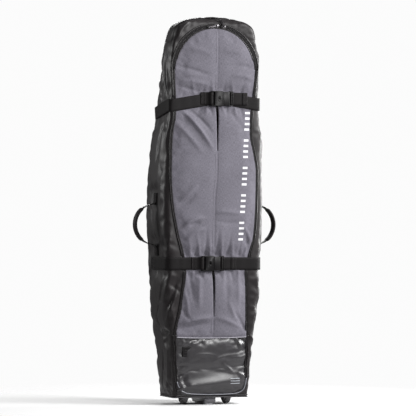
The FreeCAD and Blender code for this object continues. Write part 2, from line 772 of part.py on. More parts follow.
os.makedirs("parts", exist_ok=True)
for name, shape in assembly().items():
    shape.exportStep("parts/" + name + ".step")
    print(name, len(shape.Solids), round(shape.Volume), shape.isValid())
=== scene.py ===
import json
import logging
import math
from collections.abc import Sequence
from dataclasses import dataclass, field
from enum import Enum

import bmesh
import bpy
import numpy as np
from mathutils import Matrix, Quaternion, Vector
from mathutils.bvhtree import BVHTree
from mathutils.geometry import delaunay_2d_cdt

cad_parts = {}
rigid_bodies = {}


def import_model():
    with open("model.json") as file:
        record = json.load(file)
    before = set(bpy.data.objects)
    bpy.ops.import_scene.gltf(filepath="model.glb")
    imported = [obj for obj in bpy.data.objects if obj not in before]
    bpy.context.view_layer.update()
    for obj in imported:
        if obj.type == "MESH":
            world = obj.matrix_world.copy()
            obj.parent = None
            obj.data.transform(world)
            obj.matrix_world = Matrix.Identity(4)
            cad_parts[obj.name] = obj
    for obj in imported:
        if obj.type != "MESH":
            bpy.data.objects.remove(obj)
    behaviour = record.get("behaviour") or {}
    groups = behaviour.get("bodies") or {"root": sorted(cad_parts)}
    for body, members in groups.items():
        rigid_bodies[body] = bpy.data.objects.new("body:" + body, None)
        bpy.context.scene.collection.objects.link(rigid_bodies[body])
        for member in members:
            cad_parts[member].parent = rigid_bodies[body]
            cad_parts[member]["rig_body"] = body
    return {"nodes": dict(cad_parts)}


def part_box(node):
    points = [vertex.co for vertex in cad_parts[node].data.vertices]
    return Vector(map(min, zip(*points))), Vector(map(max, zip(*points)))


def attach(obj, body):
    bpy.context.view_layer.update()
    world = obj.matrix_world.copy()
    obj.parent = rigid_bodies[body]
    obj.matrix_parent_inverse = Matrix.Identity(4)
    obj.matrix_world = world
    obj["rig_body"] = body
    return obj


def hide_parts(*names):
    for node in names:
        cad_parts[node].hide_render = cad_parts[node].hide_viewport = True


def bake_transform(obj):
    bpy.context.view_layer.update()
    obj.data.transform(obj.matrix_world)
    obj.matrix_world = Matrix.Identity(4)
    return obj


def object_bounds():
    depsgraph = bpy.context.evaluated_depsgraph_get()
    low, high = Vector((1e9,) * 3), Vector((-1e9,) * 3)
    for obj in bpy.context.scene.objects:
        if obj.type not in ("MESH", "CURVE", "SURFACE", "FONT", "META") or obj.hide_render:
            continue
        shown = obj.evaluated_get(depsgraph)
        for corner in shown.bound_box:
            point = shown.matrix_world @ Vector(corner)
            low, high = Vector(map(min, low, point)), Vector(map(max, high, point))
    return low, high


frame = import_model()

# A wheeled board bag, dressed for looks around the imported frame. Metres, +Z up, the lid faces -Y.

Array = np.ndarray
Colour = tuple[float, float, float]
Path2 = tuple[tuple[float, float], ...]
log = logging.getLogger("board_bag")
CAD_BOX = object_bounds()
UV_NAME = "Pattern"
FOLD_Z = 1.340
FRONT_Y = -0.111
CROWN_TOP = 1.5435
HALF_WEB = 0.025
CLOTH_THICK = 0.0014
TAPE_THICK = 0.0008
FRONTWARD = (0.0, -1.0, 0.0)
BACKWARD = (0.0, 1.0, 0.0)
UPWARD = (0.0, 0.0, 1.0)


class Side(Enum):
    """The bag's two sides."""

    LEFT = -1
    RIGHT = 1

    @property
    def word(self) -> str:
        """The side's name as the nodes spell it."""
        return self.name.lower()


class Facing(Enum):
    """Which way a panel looks."""

    FRONT = -1
    BACK = 1


class Fade(Enum):
    """Where a fold dies out: at both of its ends, or only at its last one."""

    BOTH = "both"
    END = "end"


# ---------------------------------------------------------------- numbers and curves
def smooth(x: Array, low: float, high: float) -> Array:
    """An eased step.

    Args:
        x: values.
        low: where the step begins.
        high: where it ends.

    Returns:
        0 before low, 1 after high, eased between.
    """
    t = np.clip((np.asarray(x, float) - low) / (high - low), 0, 1)
    return t * t * (3 - 2 * t)


def unit(v: Array) -> Array:
    """Vectors at length one."""
    return v / np.maximum(np.linalg.norm(v, axis=-1, keepdims=True), 1e-12)


def ways(way: Sequence[float], count: int) -> Array:
    """One direction, once for each point of a path."""
    return np.tile(way, (count, 1))


def even(path: Array, step: float) -> Array:
    """A path again with points a step apart.

    Args:
        path: points in order, of any dimension.
        step: distance between the new points.

    Returns:
        The new points, with both ends kept.
    """
    path = np.asarray(path, float)
    along = np.concatenate([[0], np.cumsum(np.linalg.norm(np.diff(path, axis=0), axis=1))])
    at = np.linspace(0, along[-1], max(2, round(along[-1] / step) + 1))
    return np.stack([np.interp(at, along, path[:, k]) for k in range(path.shape[1])], axis=1)


def bend(path: Array, step: float = 0.004, rounds: int = 3) -> Array:
    """A path with its corners worn round by repeated cutting.

    Args:
        path: the corner points.
        step: spacing of the result.
        rounds: how often every corner is cut.

    Returns:
        Evenly spaced points.
    """
    path = np.asarray(path, float)
    for _ in range(rounds):
        a, b = path[:-1], path[1:]
        cut = np.stack([a * 0.75 + b * 0.25, a * 0.25 + b * 0.75], axis=1).reshape(-1, path.shape[1])
        path = np.vstack([path[:1], cut[1:-1], path[-1:]])
    return even(path, step)


class Profile:
    """A curve through given knots that never swings past them."""

    def __init__(self, knots: Sequence[Sequence[float]]) -> None:
        """Sets the slopes at the knots.

        Args:
            knots: pairs of place and value, in order of place.
        """
        self.x, self.y = np.array(knots, float).T
        h = np.diff(self.x)
        d = np.diff(self.y) / h
        self.slope = np.concatenate([[d[0]], np.zeros(len(h) - 1), [d[-1]]])
        for i in range(1, len(h)):
            if d[i - 1] * d[i] > 0:
                w1, w2 = 2 * h[i] + h[i - 1], h[i] + 2 * h[i - 1]
                self.slope[i] = (w1 + w2) / (w1 / d[i - 1] + w2 / d[i])

    def __call__(self, at: Array | float) -> Array:
        """The curve's values at some places."""
        q = np.clip(np.asarray(at, float), self.x[0], self.x[-1])
        i = np.clip(np.searchsorted(self.x, q) - 1, 0, len(self.x) - 2)
        h = self.x[i + 1] - self.x[i]
        t = (q - self.x[i]) / h
        a, b = 2 * t**3 - 3 * t**2 + 1, t**3 - 2 * t**2 + t
        c, e = -2 * t**3 + 3 * t**2, t**3 - t**2
        return a * self.y[i] + b * h * self.slope[i] + c * self.y[i + 1] + e * h * self.slope[i + 1]


# ---------------------------------------------------------------- the bag's outline
class BagForm:
    """The bag's outline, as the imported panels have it: a rounded rectangle at every height."""

    # height, half width, front, back, front corner radius and back corner radius, in millimetres
    LEVELS = (
        (34, 158, -85, 93, 12, 24), (166, 168, -90, 115, 12, 35), (279, 176, -95, 130, 15, 40),
        (376, 189, -102, 138, 20, 45), (489, 196, -108, 142, 24, 50), (569, 200, -111, 143, 25, 50),
        (779, 209, -111, 144, 25, 50), (1005, 202, -111, 130, 20, 45), (1150, 190, -111, 97, 12, 40),
        (1247, 185, -111, 70, 6, 36), (1340, 186, -111, 27, 3, 34), (1400, 182, -111, 18, 4, 32),
        (1456, 172, -111, 12, 6, 30), (1504, 160, -111, -6, 9, 28), (1524, 134, -110, -16, 12, 22),
        (1536, 96, -104, -26, 12, 18), (1543, 54, -92, -38, 12, 14),
    )  # fmt: skip
    # height, left and right seam of the lid, in millimetres
    SEAMS = (
        (34, -147, 147), (120, -152, 148), (285, -160, 151), (376, -145, 147), (480, -131, 143),
        (540, -127, 142), (600, -137, 156), (690, -160, 176), (820, -183, 183), (930, -190, 184),
        (1010, -190, 172), (1081, -186, 158), (1142, -176, 160), (1200, -174, 166), (1266, -178, 174),
        (1340, -182, 182),
    )  # fmt: skip
    ARCH_R = 0.1835

    def __init__(self) -> None:
        """Builds the curves from the tables."""
        rows = np.array(self.LEVELS) / 1000
        self.half, self.front, self.back, self.front_r, self.back_r = [Profile(rows[:, (0, k)]) for k in range(1, 6)]
        seams = np.array(self.SEAMS) / 1000
        self.seams = {Side.LEFT: Profile(seams[:, (0, 1)]), Side.RIGHT: Profile(seams[:, (0, 2)])}

    def gap(self, points: Array) -> Array:
        """How far points stand outside the bag.

        Args:
            points: places, with x, y and z last.

        Returns:
            Distances, below zero inside.
        """
        x, y, z = points[..., 0], points[..., 1], points[..., 2]
        front, back = self.front(z), self.back(z)
        middle = (front + back) / 2
        r = np.where(y < middle, self.front_r(z), self.back_r(z))
        qx = np.abs(x) - (self.half(z) - r)
        qy = np.abs(y - middle) - ((back - front) / 2 - r)
        out = np.hypot(np.maximum(qx, 0), np.maximum(qy, 0)) + np.minimum(np.maximum(qx, qy), 0) - r
        return np.maximum(out, z - CROWN_TOP)

    def cast(self, origin: Array, direction: Array, proud: float = 0.0) -> Array:
        """Where rays from inside meet the outline.

        Args:
            origin: starts of the rays.
            direction: their unit directions.
            proud: how far outside the outline they stop.

        Returns:
            The places, one for each ray.
        """
        low, high = np.zeros(origin.shape[:-1]), np.full(origin.shape[:-1], 0.33)
        for _ in range(20):
            middle = (low + high) / 2
            inside = self.gap(origin + direction * middle[..., None]) < proud
            low, high = np.where(inside, middle, low), np.where(inside, high, middle)
        return origin + direction * low[..., None]

    def outward(self, points: Array, reach: float = 0.002) -> Array:
        """Unit directions straight out of the outline near some points."""
        steps = []
        for axis in np.eye(3) * reach:
            steps.append(self.gap(points + axis) - self.gap(points - axis))
        return unit(np.stack(steps, axis=-1))

    def face(self, x: Array, z: Array, facing: Facing) -> Array:
        """Points of the front or back face.

        Args:
            x: places across.
            z: heights.
            facing: which face.

        Returns:
            The points on the face.
        """
        edge, r = (self.front(z), self.front_r(z)) if facing is Facing.FRONT else (self.back(z), self.back_r(z))
        past = np.clip(np.abs(x) - (self.half(z) - r), 0, r * 0.999)
        return np.stack([x, edge - facing.value * (r - np.sqrt(r**2 - past**2)), z], axis=-1)

    def back_seam(self, z: Array) -> Array:
        """Half width of the back panel at some heights, up to its rounded top."""
        up = np.clip((np.asarray(z, float) - FOLD_Z) / 0.130, 0, 1)
        return np.where(z < FOLD_Z, self.half(z) - 0.6 * self.back_r(z), 0.1656 * (1 - up**2.6) ** (1 / 2.6))

    def lid_edge(self, side: Side, z: Array, beside: float) -> Array:
        """Where the lid's seam runs, moved towards the middle by beside."""
        return self.seams[side](z) - side.value * beside


FORM = BagForm()


# ---------------------------------------------------------------- straps in outline
@dataclass(frozen=True)
class StrapLine:
    """The heights that a compression strap runs through, read from its packed webbing."""

    name: str

    @property
    def buckle(self) -> tuple[Vector, Vector]:
        """Lowest and highest corner of the buckle's socket."""
        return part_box(self.name + "_buckle_socket")

    def heights(self, side: Side) -> tuple[float, float, float]:
        """Heights at the buckle, at the corner of the bag and at the strap's end."""
        low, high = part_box(f"{self.name}_strap_{side.word}")
        start, end = high.z - HALF_WEB, low.z + HALF_WEB
        return start, start + (end - start) * 0.5, end

    def height(self, points: Array) -> Array:
        """The strap's height beside some points of the bag."""
        zs = [np.array(self.heights(side)) for side in (Side.LEFT, Side.RIGHT)]
        z0, z1, z2 = np.where(points[..., 0, None] < 0, zs[0], zs[1]).T
        z0, z1, z2 = z0.T, z1.T, z2.T
        over = np.clip((np.abs(points[..., 0]) - 0.03) / 0.16, 0, 1)
        back = np.clip((points[..., 1] - FRONT_Y - 0.01) / 0.165, 0, 1.2)
        return z0 + (z1 - z0) * over + (z2 - z1) * back

    def clear(self, points: Array, near: float, wide: float) -> Array:
        """0 under the strap, 1 well away from it."""
        far = np.abs(points[..., 2] - self.height(points))
        return np.maximum(smooth(far, near, wide), smooth(points[..., 1], 0.075, 0.095))


STRAPS = (StrapLine("upper"), StrapLine("lower"))


def free_of_straps(points: Array, near: float = 0.026, wide: float = 0.07) -> Array:
    """0 where a strap lies on the cloth, rising to 1 away from both."""
    return STRAPS[0].clear(points, near, wide) * STRAPS[1].clear(points, near, wide)


def free_of_anchors(points: Array) -> Array:
    """0 where a side handle is sewn to the cloth, 1 away from it."""
    held = np.zeros(points.shape[:-1])
    for side in Side:
        low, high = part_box(side.word + "_anchors")
        on_side = smooth(points[..., 0] * side.value, 0.15, 0.17)
        near_y = 1 - smooth(np.abs(points[..., 1]), 0.022, 0.050)
        for z in (low.z + HALF_WEB, high.z - HALF_WEB):
            held = np.maximum(held, on_side * near_y * (1 - smooth(np.abs(points[..., 2] - z), 0.034, 0.060)))
    return 1 - held


# ---------------------------------------------------------------- folds
@dataclass(frozen=True)
class Fold:
    """One fold of the cloth, along a short curve on its pattern; a height below zero is a hollow."""

    path: Path2
    height: float
    width: float = 0.008
    fade: Fade = Fade.BOTH

    def line(self) -> Array:
        """Points along the fold."""
        p = np.array(self.path, float)
        if len(p) == 2:
            p = np.array([p[0], p.mean(0), p[1]])
        t = np.linspace(0, 1, 9)[:, None]
        return (1 - t) ** 2 * p[0] + 2 * t * (1 - t) * p[1] + t**2 * p[2]

    def lift(self, at: Array) -> Array:
        """How much the fold raises the cloth.

        Args:
            at: places on the pattern, two numbers each.

        Returns:
            Heights in metres.
        """
        knots = self.line()
        best, along = np.full(len(at), 1.0), np.zeros(len(at))
        for i, (a, b) in enumerate(zip(knots, knots[1:])):
            d = b - a
            t = np.clip((at - a) @ d / (d @ d), 0, 1)
            away = np.linalg.norm(at - a - t[:, None] * d, axis=1)
            closer = away < best
            best, along = np.where(closer, away, best), np.where(closer, (i + t) / 8, along)
        shape = 1 / (1 + (best / self.width) ** 2) ** 2
        if self.fade is Fade.BOTH:
            return self.height * shape * np.sin(np.pi * np.clip(along, 0.02, 0.98)) ** 0.8
        return self.height * shape * (1 - along) ** 1.3


def folded(at: Array, folds: Sequence[Fold]) -> Array:
    """The sum of several folds at places on a pattern."""
    total = np.zeros(len(at))
    for one in folds:
        knots = one.line()
        reach = one.width * 5
        near = ((at > knots.min(0) - reach) & (at < knots.max(0) + reach)).all(1)
        if near.any():
            total[near] += one.lift(at[near])
    return total


@dataclass(frozen=True)
class Crumple:
    """A patch of small folds that all run roughly one way."""

    seed: int
    count: int
    low: tuple[float, float]
    high: tuple[float, float]
    heading: float
    spread: float = 25.0
    length: tuple[float, float] = (0.05, 0.12)
    height: tuple[float, float] = (0.0015, 0.0035)
    width: tuple[float, float] = (0.005, 0.009)

    def folds(self) -> list[Fold]:
        """The patch's folds, the same ones every time."""
        dice = np.random.default_rng(self.seed)
        made = []
        for _ in range(self.count):
            middle = dice.uniform(self.low, self.high)
            angle = math.radians(self.heading + dice.uniform(-self.spread, self.spread))
            reach = dice.uniform(*self.length) / 2
            way = np.array([math.cos(angle), math.sin(angle)]) * reach
            side = np.array([-way[1], way[0]]) * dice.uniform(-0.4, 0.4)
            path = tuple(tuple(float(v) for v in p) for p in (middle - way, middle + side, middle + way))
            sign = 1 if dice.random() < 0.6 else -0.8
            made.append(Fold(path, sign * dice.uniform(*self.height), dice.uniform(*self.width)))
        return made


def fold_table(rows: Sequence[Sequence[int]], mirror: float | None = None) -> list[Fold]:
    """Folds from a table of whole numbers.

    Args:
        rows: for each fold its first, middle and last place in millimetres, then its height and width in tenths
            of a millimetre; a further 1 lets it die out at its last place only.
        mirror: length of a strip whose places are counted back from its far end.

    Returns:
        The folds, in the table's order.
    """
    made = []
    for x0, y0, x1, y1, x2, y2, height, width, *dies in rows:
        path = tuple(
            (x / 1000 if mirror is None else mirror - x / 1000, y / 1000) for x, y in ((x0, y0), (x1, y1), (x2, y2))
        )
        made.append(Fold(path, height / 10000, width / 10000, Fade.END if dies else Fade.BOTH))
    return made


def puckers(start: Array, headings: Sequence[float], lengths: Sequence[float], height: float, width: float) -> list[
    Fold
]:
    """Small folds that fan out from where cloth is pulled in.

    Args:
        start: places on the pattern, one for each fold.
        headings: their directions in degrees, 90 being up.
        lengths: their lengths.
        height: their height where they start; every second one is a hollow.
        width: their width.

    Returns:
        The folds.
    """
    made = []
    for i, (p, heading, length) in enumerate(zip(start, headings, lengths)):
        way = np.array([math.cos(math.radians(heading)), math.sin(math.radians(heading))]) * length
        made.append(Fold((tuple(p), tuple(p + way)), height * (1 if i % 2 else -0.9), width, Fade.END))
    return made


@dataclass(frozen=True)
class Relief:
    """Heights on a regular grid over a pattern, read smoothly between its points."""

    heights: Array
    low: tuple[float, float]
    high: tuple[float, float]

    def __call__(self, at: Array) -> Array:
        """The heights at places on the pattern."""
        grid = self.heights
        for axis in (0, 1):
            grid = np.moveaxis(grid, axis, 0)
            fine = np.empty((2 * len(grid) - 1, grid.shape[1]))
            fine[::2], fine[1::2] = grid, (grid[1:] + grid[:-1]) / 2
            fine[1:-1] = fine[1:-1] / 2 + (fine[2:] + fine[:-2]) / 4
            grid = np.moveaxis(fine, 0, axis)
        rows, columns = grid.shape
        place = (at - np.array(self.low)) / (np.array(self.high) - np.array(self.low))
        r, c = [np.clip(place[:, k], 0, 1) * (n - 1.0001) for k, n in ((0, rows), (1, columns))]
        i, j = r.astype(int), c.astype(int)
        r, c = r - i, c - j
        top = grid[i, j] * (1 - c) + grid[i, j + 1] * c
        low = grid[i + 1, j] * (1 - c) + grid[i + 1, j + 1] * c
        return top * (1 - r) + low * r


@dataclass(frozen=True)
class Settling:
    """Lets a panel's cloth find its own small folds, by a short cloth simulation with its edges held."""

    swell: float = 0.04
    pressure: float = 0.6
    frames: int = 20
    cap: float = 0.007
    stiffness: float = 0.3

    def run(self, grid: Array, outward: Array, held: Array, taut: Array) -> Array:
        """Simulates one panel.

        Args:
            grid: rows and columns of points.
            outward: the way out of the bag at each point.
            held: 1 where the cloth is sewn down, 0 where it is free.
            taut: 1 where the cloth has no slack, 0 where it has all of it.

        Returns:
            How far each point moved outward, within the cap.
        """
        rows, columns = grid.shape[:2]
        dice = np.random.default_rng(rows)
        start = grid + outward * (dice.uniform(-1, 1, (rows, columns, 1)) * 0.0008 * (1 - held[..., None]))
        cloth = mesh_object("settling_cloth", start.reshape(-1, 3), grid_faces(rows, columns))
        face_outward(cloth, outward.reshape(-1, 3))
        for name, weights in (("held", held), ("taut", taut)):
            group = cloth.vertex_groups.new(name=name)
            for i, w in enumerate(weights.ravel()):
                group.add([i], float(w), "REPLACE")
        settle = cloth.modifiers.new("Settle", "CLOTH")
        s = settle.settings
        s.quality, s.mass, s.air_damping = 6, 0.25, 2.0
        s.tension_stiffness = s.compression_stiffness = 12
        s.shear_stiffness, s.bending_stiffness = 6, self.stiffness
        s.vertex_group_mass = "held"
        s.shrink_min, s.shrink_max, s.vertex_group_shrink = -self.swell, 0.0, "taut"
        s.use_pressure, s.uniform_pressure_force = True, self.pressure
        s.effector_weights.gravity = 0
        settle.collision_settings.use_collision = False
        settle.point_cache.frame_end = self.frames
        for now in range(1, self.frames + 1):
            bpy.context.scene.frame_set(now)
        shown = cloth.evaluated_get(bpy.context.evaluated_depsgraph_get()).to_mesh()
        moved = np.zeros(rows * columns * 3, np.float32)
        shown.vertices.foreach_get("co", moved)
        bpy.data.objects.remove(cloth)
        bpy.context.scene.frame_set(1)
        away = ((moved.reshape(grid.shape) - grid) * outward).sum(-1)
        return self.cap * np.tanh(away / self.cap) * (1 - held)


# ---------------------------------------------------------------- meshes
def mesh_object(name: str, points: Array, faces: Array | list[list[int]], uv: Array | None = None) -> bpy.types.Object:
    """A mesh object in the row frame.

    Args:
        name: the object's name.
        points: its vertices.
        faces: vertex numbers of each face; in a list they may differ in length.
        uv: place of each vertex on the pattern, in metres.

    Returns:
        The object.
    """
    mesh = bpy.data.meshes.new(name)
    corner_lists = faces.tolist() if isinstance(faces, np.ndarray) else faces
    mesh.from_pydata(np.asarray(points, float).tolist(), [], corner_lists)
    mesh.polygons.foreach_set("use_smooth", [True] * len(mesh.polygons))
    if uv is not None:
        layer = mesh.uv_layers.new(name=UV_NAME)
        corners = np.zeros(len(mesh.loops), np.int32)
        mesh.loops.foreach_get("vertex_index", corners)
        layer.data.foreach_set("uv", np.asarray(uv, np.float32)[corners].ravel())
    made = bpy.data.objects.new(name, mesh)
    bpy.context.scene.collection.objects.link(made)
    return made


def grid_faces(rows: int, columns: int, wrap: bool = False) -> Array:
    """Quads of a grid of points; wrap joins its last column to the first."""
    i = np.arange(rows - 1)[:, None] * columns
    j = np.arange(columns if wrap else columns - 1)[None]
    k = (j + 1) % columns
    return np.stack([i + j, i + k, i + columns + k, i + columns + j], -1).reshape(-1, 4)


def face_outward(piece: bpy.types.Object, outward: Array) -> None:
    """Turns an open sheet's faces over if most of them look inwards."""
    normals = np.zeros(len(piece.data.vertices) * 3, np.float32)
    piece.data.vertices.foreach_get("normal", normals)
    if (normals.reshape(-1, 3) * outward).sum() < 0:
        piece.data.flip_normals()


def close_up(piece: bpy.types.Object) -> bpy.types.Object:
    """Makes the faces of a closed mesh look outwards."""
    work = bmesh.new()
    work.from_mesh(piece.data)
    bmesh.ops.recalc_face_normals(work, faces=work.faces)
    work.to_mesh(piece.data)
    work.free()
    return piece


def thicken(piece: bpy.types.Object, thick: float) -> bpy.types.Object:
    """Gives a sheet its thickness, inwards from its shown face."""
    solid = piece.modifiers.new("Thickness", "SOLIDIFY")
    solid.thickness, solid.offset = thick, -1
    solid.use_even_offset = False
    return bake_modifiers(piece)


def bake_modifiers(piece: bpy.types.Object) -> bpy.types.Object:
    """Applies a piece's modifiers to its mesh."""
    shown = piece.evaluated_get(bpy.context.evaluated_depsgraph_get())
    done = bpy.data.meshes.new_from_object(shown)
    piece.modifiers.clear()
    piece.data = done
    return piece


def flat_profile(wide: float, thick: float, columns: int = 7) -> Array:
    """Section of webbing: a flat strip with worn edges."""
    half, edge = wide / 2, min(thick * 0.45, wide * 0.1)
    top = [(a, thick / 2) for a in np.linspace(-half + edge, half - edge, columns)]
    low = [(a, -o) for a, o in reversed(top)]
    return np.array(
        [(-half, thick * 0.15), *top, (half, thick * 0.15), (half, -thick * 0.15), *low, (-half, -thick * 0.15)]
    )


def round_profile(radius: float, sides: int = 10) -> Array:
    """Section of piping."""
    a = np.linspace(0, 2 * np.pi, sides, endpoint=False)
    return np.stack([np.cos(a), np.sin(a)], 1) * radius


def sweep(
    name: str,
    path: Array,
    out: Array,
    section: Array,
    scale: Array | None = None,
    across: Array | None = None,
    loop: bool = False,
) -> bpy.types.Object:
    """A closed section carried along a path.

    Args:
        name: the object's name.
        path: points in order.
        out: the way the section's second number points, at each point.
        section: closed outline, across and out.
        scale: how much wider and thicker it is at each point.
        across: the way the first number points, or at a right angle to path and out.
        loop: whether the path closes on itself.

    Returns:
        The object, with across and along as its pattern.
    """
    ahead = np.roll(path, -1, 0) - np.roll(path, 1, 0) if loop else np.gradient(path, axis=0)
    across = unit(np.cross(out, ahead)) if across is None else across
    size = np.ones((len(path), 2)) if scale is None else scale
    rings = path[:, None] + across[:, None] * (section[None, :, :1] * size[:, None, :1])
    rings = rings + out[:, None] * (section[None, :, 1:] * size[:, None, 1:])
    n, k = rings.shape[:2]
    along = np.concatenate([[0], np.cumsum(np.linalg.norm(np.diff(path, axis=0), axis=1))])
    uv = np.stack([np.broadcast_to(section[:, 0], (n, k)), np.broadcast_to(along[:, None], (n, k))], -1).reshape(-1, 2)
    faces = grid_faces(n, k, True).tolist()
    if loop:
        last, j = (n - 1) * k, np.arange(k)
        faces += np.stack([last + j, last + (j + 1) % k, (j + 1) % k, j], -1).tolist()
    else:
        faces += [list(range(k)), list(range((n - 1) * k, n * k))]
    made = mesh_object(name, rings.reshape(-1, 3), faces, uv)
    return close_up(made)


def studs(
    name: str,
    centres: Array,
    along: Array,
    out: Array,
    size: tuple[float, float, float],
    taper: float = 0.6,
) -> bpy.types.Object:
    """Many small blocks with narrower tops in one mesh: zip teeth or stitches.

    Args:
        name: the object's name.
        centres: middle of each block's foot.
        along: the way its length runs.
        out: the way it stands.
        size: length, width and height.
        taper: size of its top against its foot.

    Returns:
        The object.
    """
    across = unit(np.cross(out, along))
    corner = np.array([(-1, -1), (1, -1), (1, 1), (-1, 1)]) / 2
    blocks = []
    for level, share in ((-0.2, 1.0), (0.6, 1.0), (1.0, taper)):
        blocks.append(
            centres[:, None]
            + along[:, None] * (corner[:, :1] * size[0] * share)
            + across[:, None] * (corner[:, 1:] * size[1] * share)
            + out[:, None] * size[2] * level
        )
    points = np.concatenate(blocks, 1)
    sides = [[a + i, a + (i + 1) % 4, a + 4 + (i + 1) % 4, a + 4 + i] for a in (0, 4) for i in range(4)]
    faces = np.array([[3, 2, 1, 0], *sides, [8, 9, 10, 11]])
    every = (faces[None] + 12 * np.arange(len(points))[:, None, None]).reshape(-1, 4)
    uv = np.repeat(centres[:, (0, 2)], 12, 0)
    return close_up(mesh_object(name, points.reshape(-1, 3), every, uv))


def inside(points: Array, loop: Array) -> Array:
    """Which points lie inside a closed outline."""
    a, b = loop, np.roll(loop, -1, 0)
    crossing = (a[None, :, 1] > points[:, None, 1]) != (b[None, :, 1] > points[:, None, 1])
    rise = np.where(np.abs(b[:, 1] - a[:, 1]) < 1e-12, 1e-12, b[:, 1] - a[:, 1])
    x = a[None, :, 0] + (points[:, None, 1] - a[None, :, 1]) * ((b[:, 0] - a[:, 0]) / rise)[None]
    return ((points[:, None, 0] < x) & crossing).sum(1) % 2 == 1


def cut_pattern(outline: Array, holes: Sequence[Array], creases: Sequence[Array], spacing: float) -> tuple[
    Array, Array
]:
    """Fills a flat cut of cloth with even triangles.

    Args:
        outline: the cut's edge.
        holes: edges of the openings in it.
        creases: lines that the triangles have to follow.
        spacing: size of the triangles.

    Returns:
        Points of the pattern and the triangles.
    """
    loops = [even(np.vstack([loop, loop[:1]]), spacing)[:-1] for loop in (outline, *holes)]
    lines = [even(line, spacing) for line in creases]
    fixed = np.vstack([*loops, *lines])
    low, high = outline.min(0), outline.max(0)
    rows = np.arange(low[1] + spacing * 0.6, high[1], spacing * 0.866)
    hexes = []
    for i, z in enumerate(rows):
        x = np.arange(low[0] + spacing * (0.5 if i % 2 else 1), high[0], spacing)
        hexes.append(np.stack([x, np.full(len(x), z)], 1))
    free = np.vstack(hexes)
    free = free[inside(free, loops[0])]
    for hole in loops[1:]:
        free = free[~inside(free, hole)]
    near = np.full(len(free), 1.0)
    for part in np.array_split(fixed, max(1, len(fixed) // 200)):
        near = np.minimum(near, np.linalg.norm(free[:, None] - part[None], axis=2).min(1))
    free = free[near > spacing * 0.55]
    edges, count = [], 0
    for loop in loops:
        n = len(loop)
        edges += [(count + i, count + (i + 1) % n) for i in range(n)]
        count += n
    for line in lines:
        edges += [(count + i, count + i + 1) for i in range(len(line) - 1)]
        count += len(line)
    every = [Vector(p) for p in np.vstack([fixed, free])]
    points, _, faces, *_ = delaunay_2d_cdt(every, edges, [], 0, 1e-7)
    points, faces = np.array([tuple(p) for p in points]), np.array([f for f in faces if len(f) == 3])
    middle = points[faces].mean(1)
    keep = inside(middle, loops[0])
    for hole in loops[1:]:
        keep &= ~inside(middle, hole)
    faces = faces[keep]
    used, faces = np.unique(faces, return_inverse=True)
    return points[used], faces.reshape(-1, 3)


def pattern_area(points: Array, faces: Array) -> float:
    """Flat area of a triangulated cut."""
    a, b, c = [points[faces[:, k]] for k in range(3)]
    return float(np.abs((b - a)[:, 0] * (c - a)[:, 1] - (b - a)[:, 1] * (c - a)[:, 0]).sum() / 2)


# ---------------------------------------------------------------- shader expressions
class Value:
    """A shader socket; arithmetic on it adds Math nodes."""

    def __init__(self, graph: "Graph", socket: bpy.types.NodeSocket) -> None:
        """Wraps one output socket of a graph."""
        self.graph, self.socket = graph, socket

    def math(self, operation: str, *others: "Value | float") -> "Value":
        """A Math node on this value and others."""
        return self.graph.node("ShaderNodeMath", {"operation": operation}, dict(enumerate((self, *others))))

    def __add__(self, other: "Value | float") -> "Value":
        """self + other"""
        return self.math("ADD", other)

    __radd__ = __add__

    def __mul__(self, other: "Value | float") -> "Value":
        """self * other"""
        return self.math("MULTIPLY", other)

    __rmul__ = __mul__

    def __sub__(self, other: "Value | float") -> "Value":
        """self - other"""
        return self.math("SUBTRACT", other)

    def __rsub__(self, other: float) -> "Value":
        """other - self"""
        return self.graph.node("ShaderNodeMath", {"operation": "SUBTRACT"}, {0: other, 1: self})

    def __truediv__(self, other: "Value | float") -> "Value":
        """self / other"""
        return self.math("DIVIDE", other)

    def __gt__(self, other: "Value | float") -> "Value":
        """1 where self is above other."""
        return self.math("GREATER_THAN", other)

    def __lt__(self, other: "Value | float") -> "Value":
        """1 where self is below other."""
        return self.math("LESS_THAN", other)

    def part(self, name: str) -> "Value":
        """Another output of the node that this value comes from."""
        return Value(self.graph, self.socket.node.outputs[name])

    def eased(self, low: float, high: float) -> "Value":
        """0 below low and 1 above high, eased between."""
        return self.graph.node(
            "ShaderNodeMapRange",
            {"interpolation_type": "SMOOTHSTEP"},
            {"Value": self, "From Min": low, "From Max": high},
        )


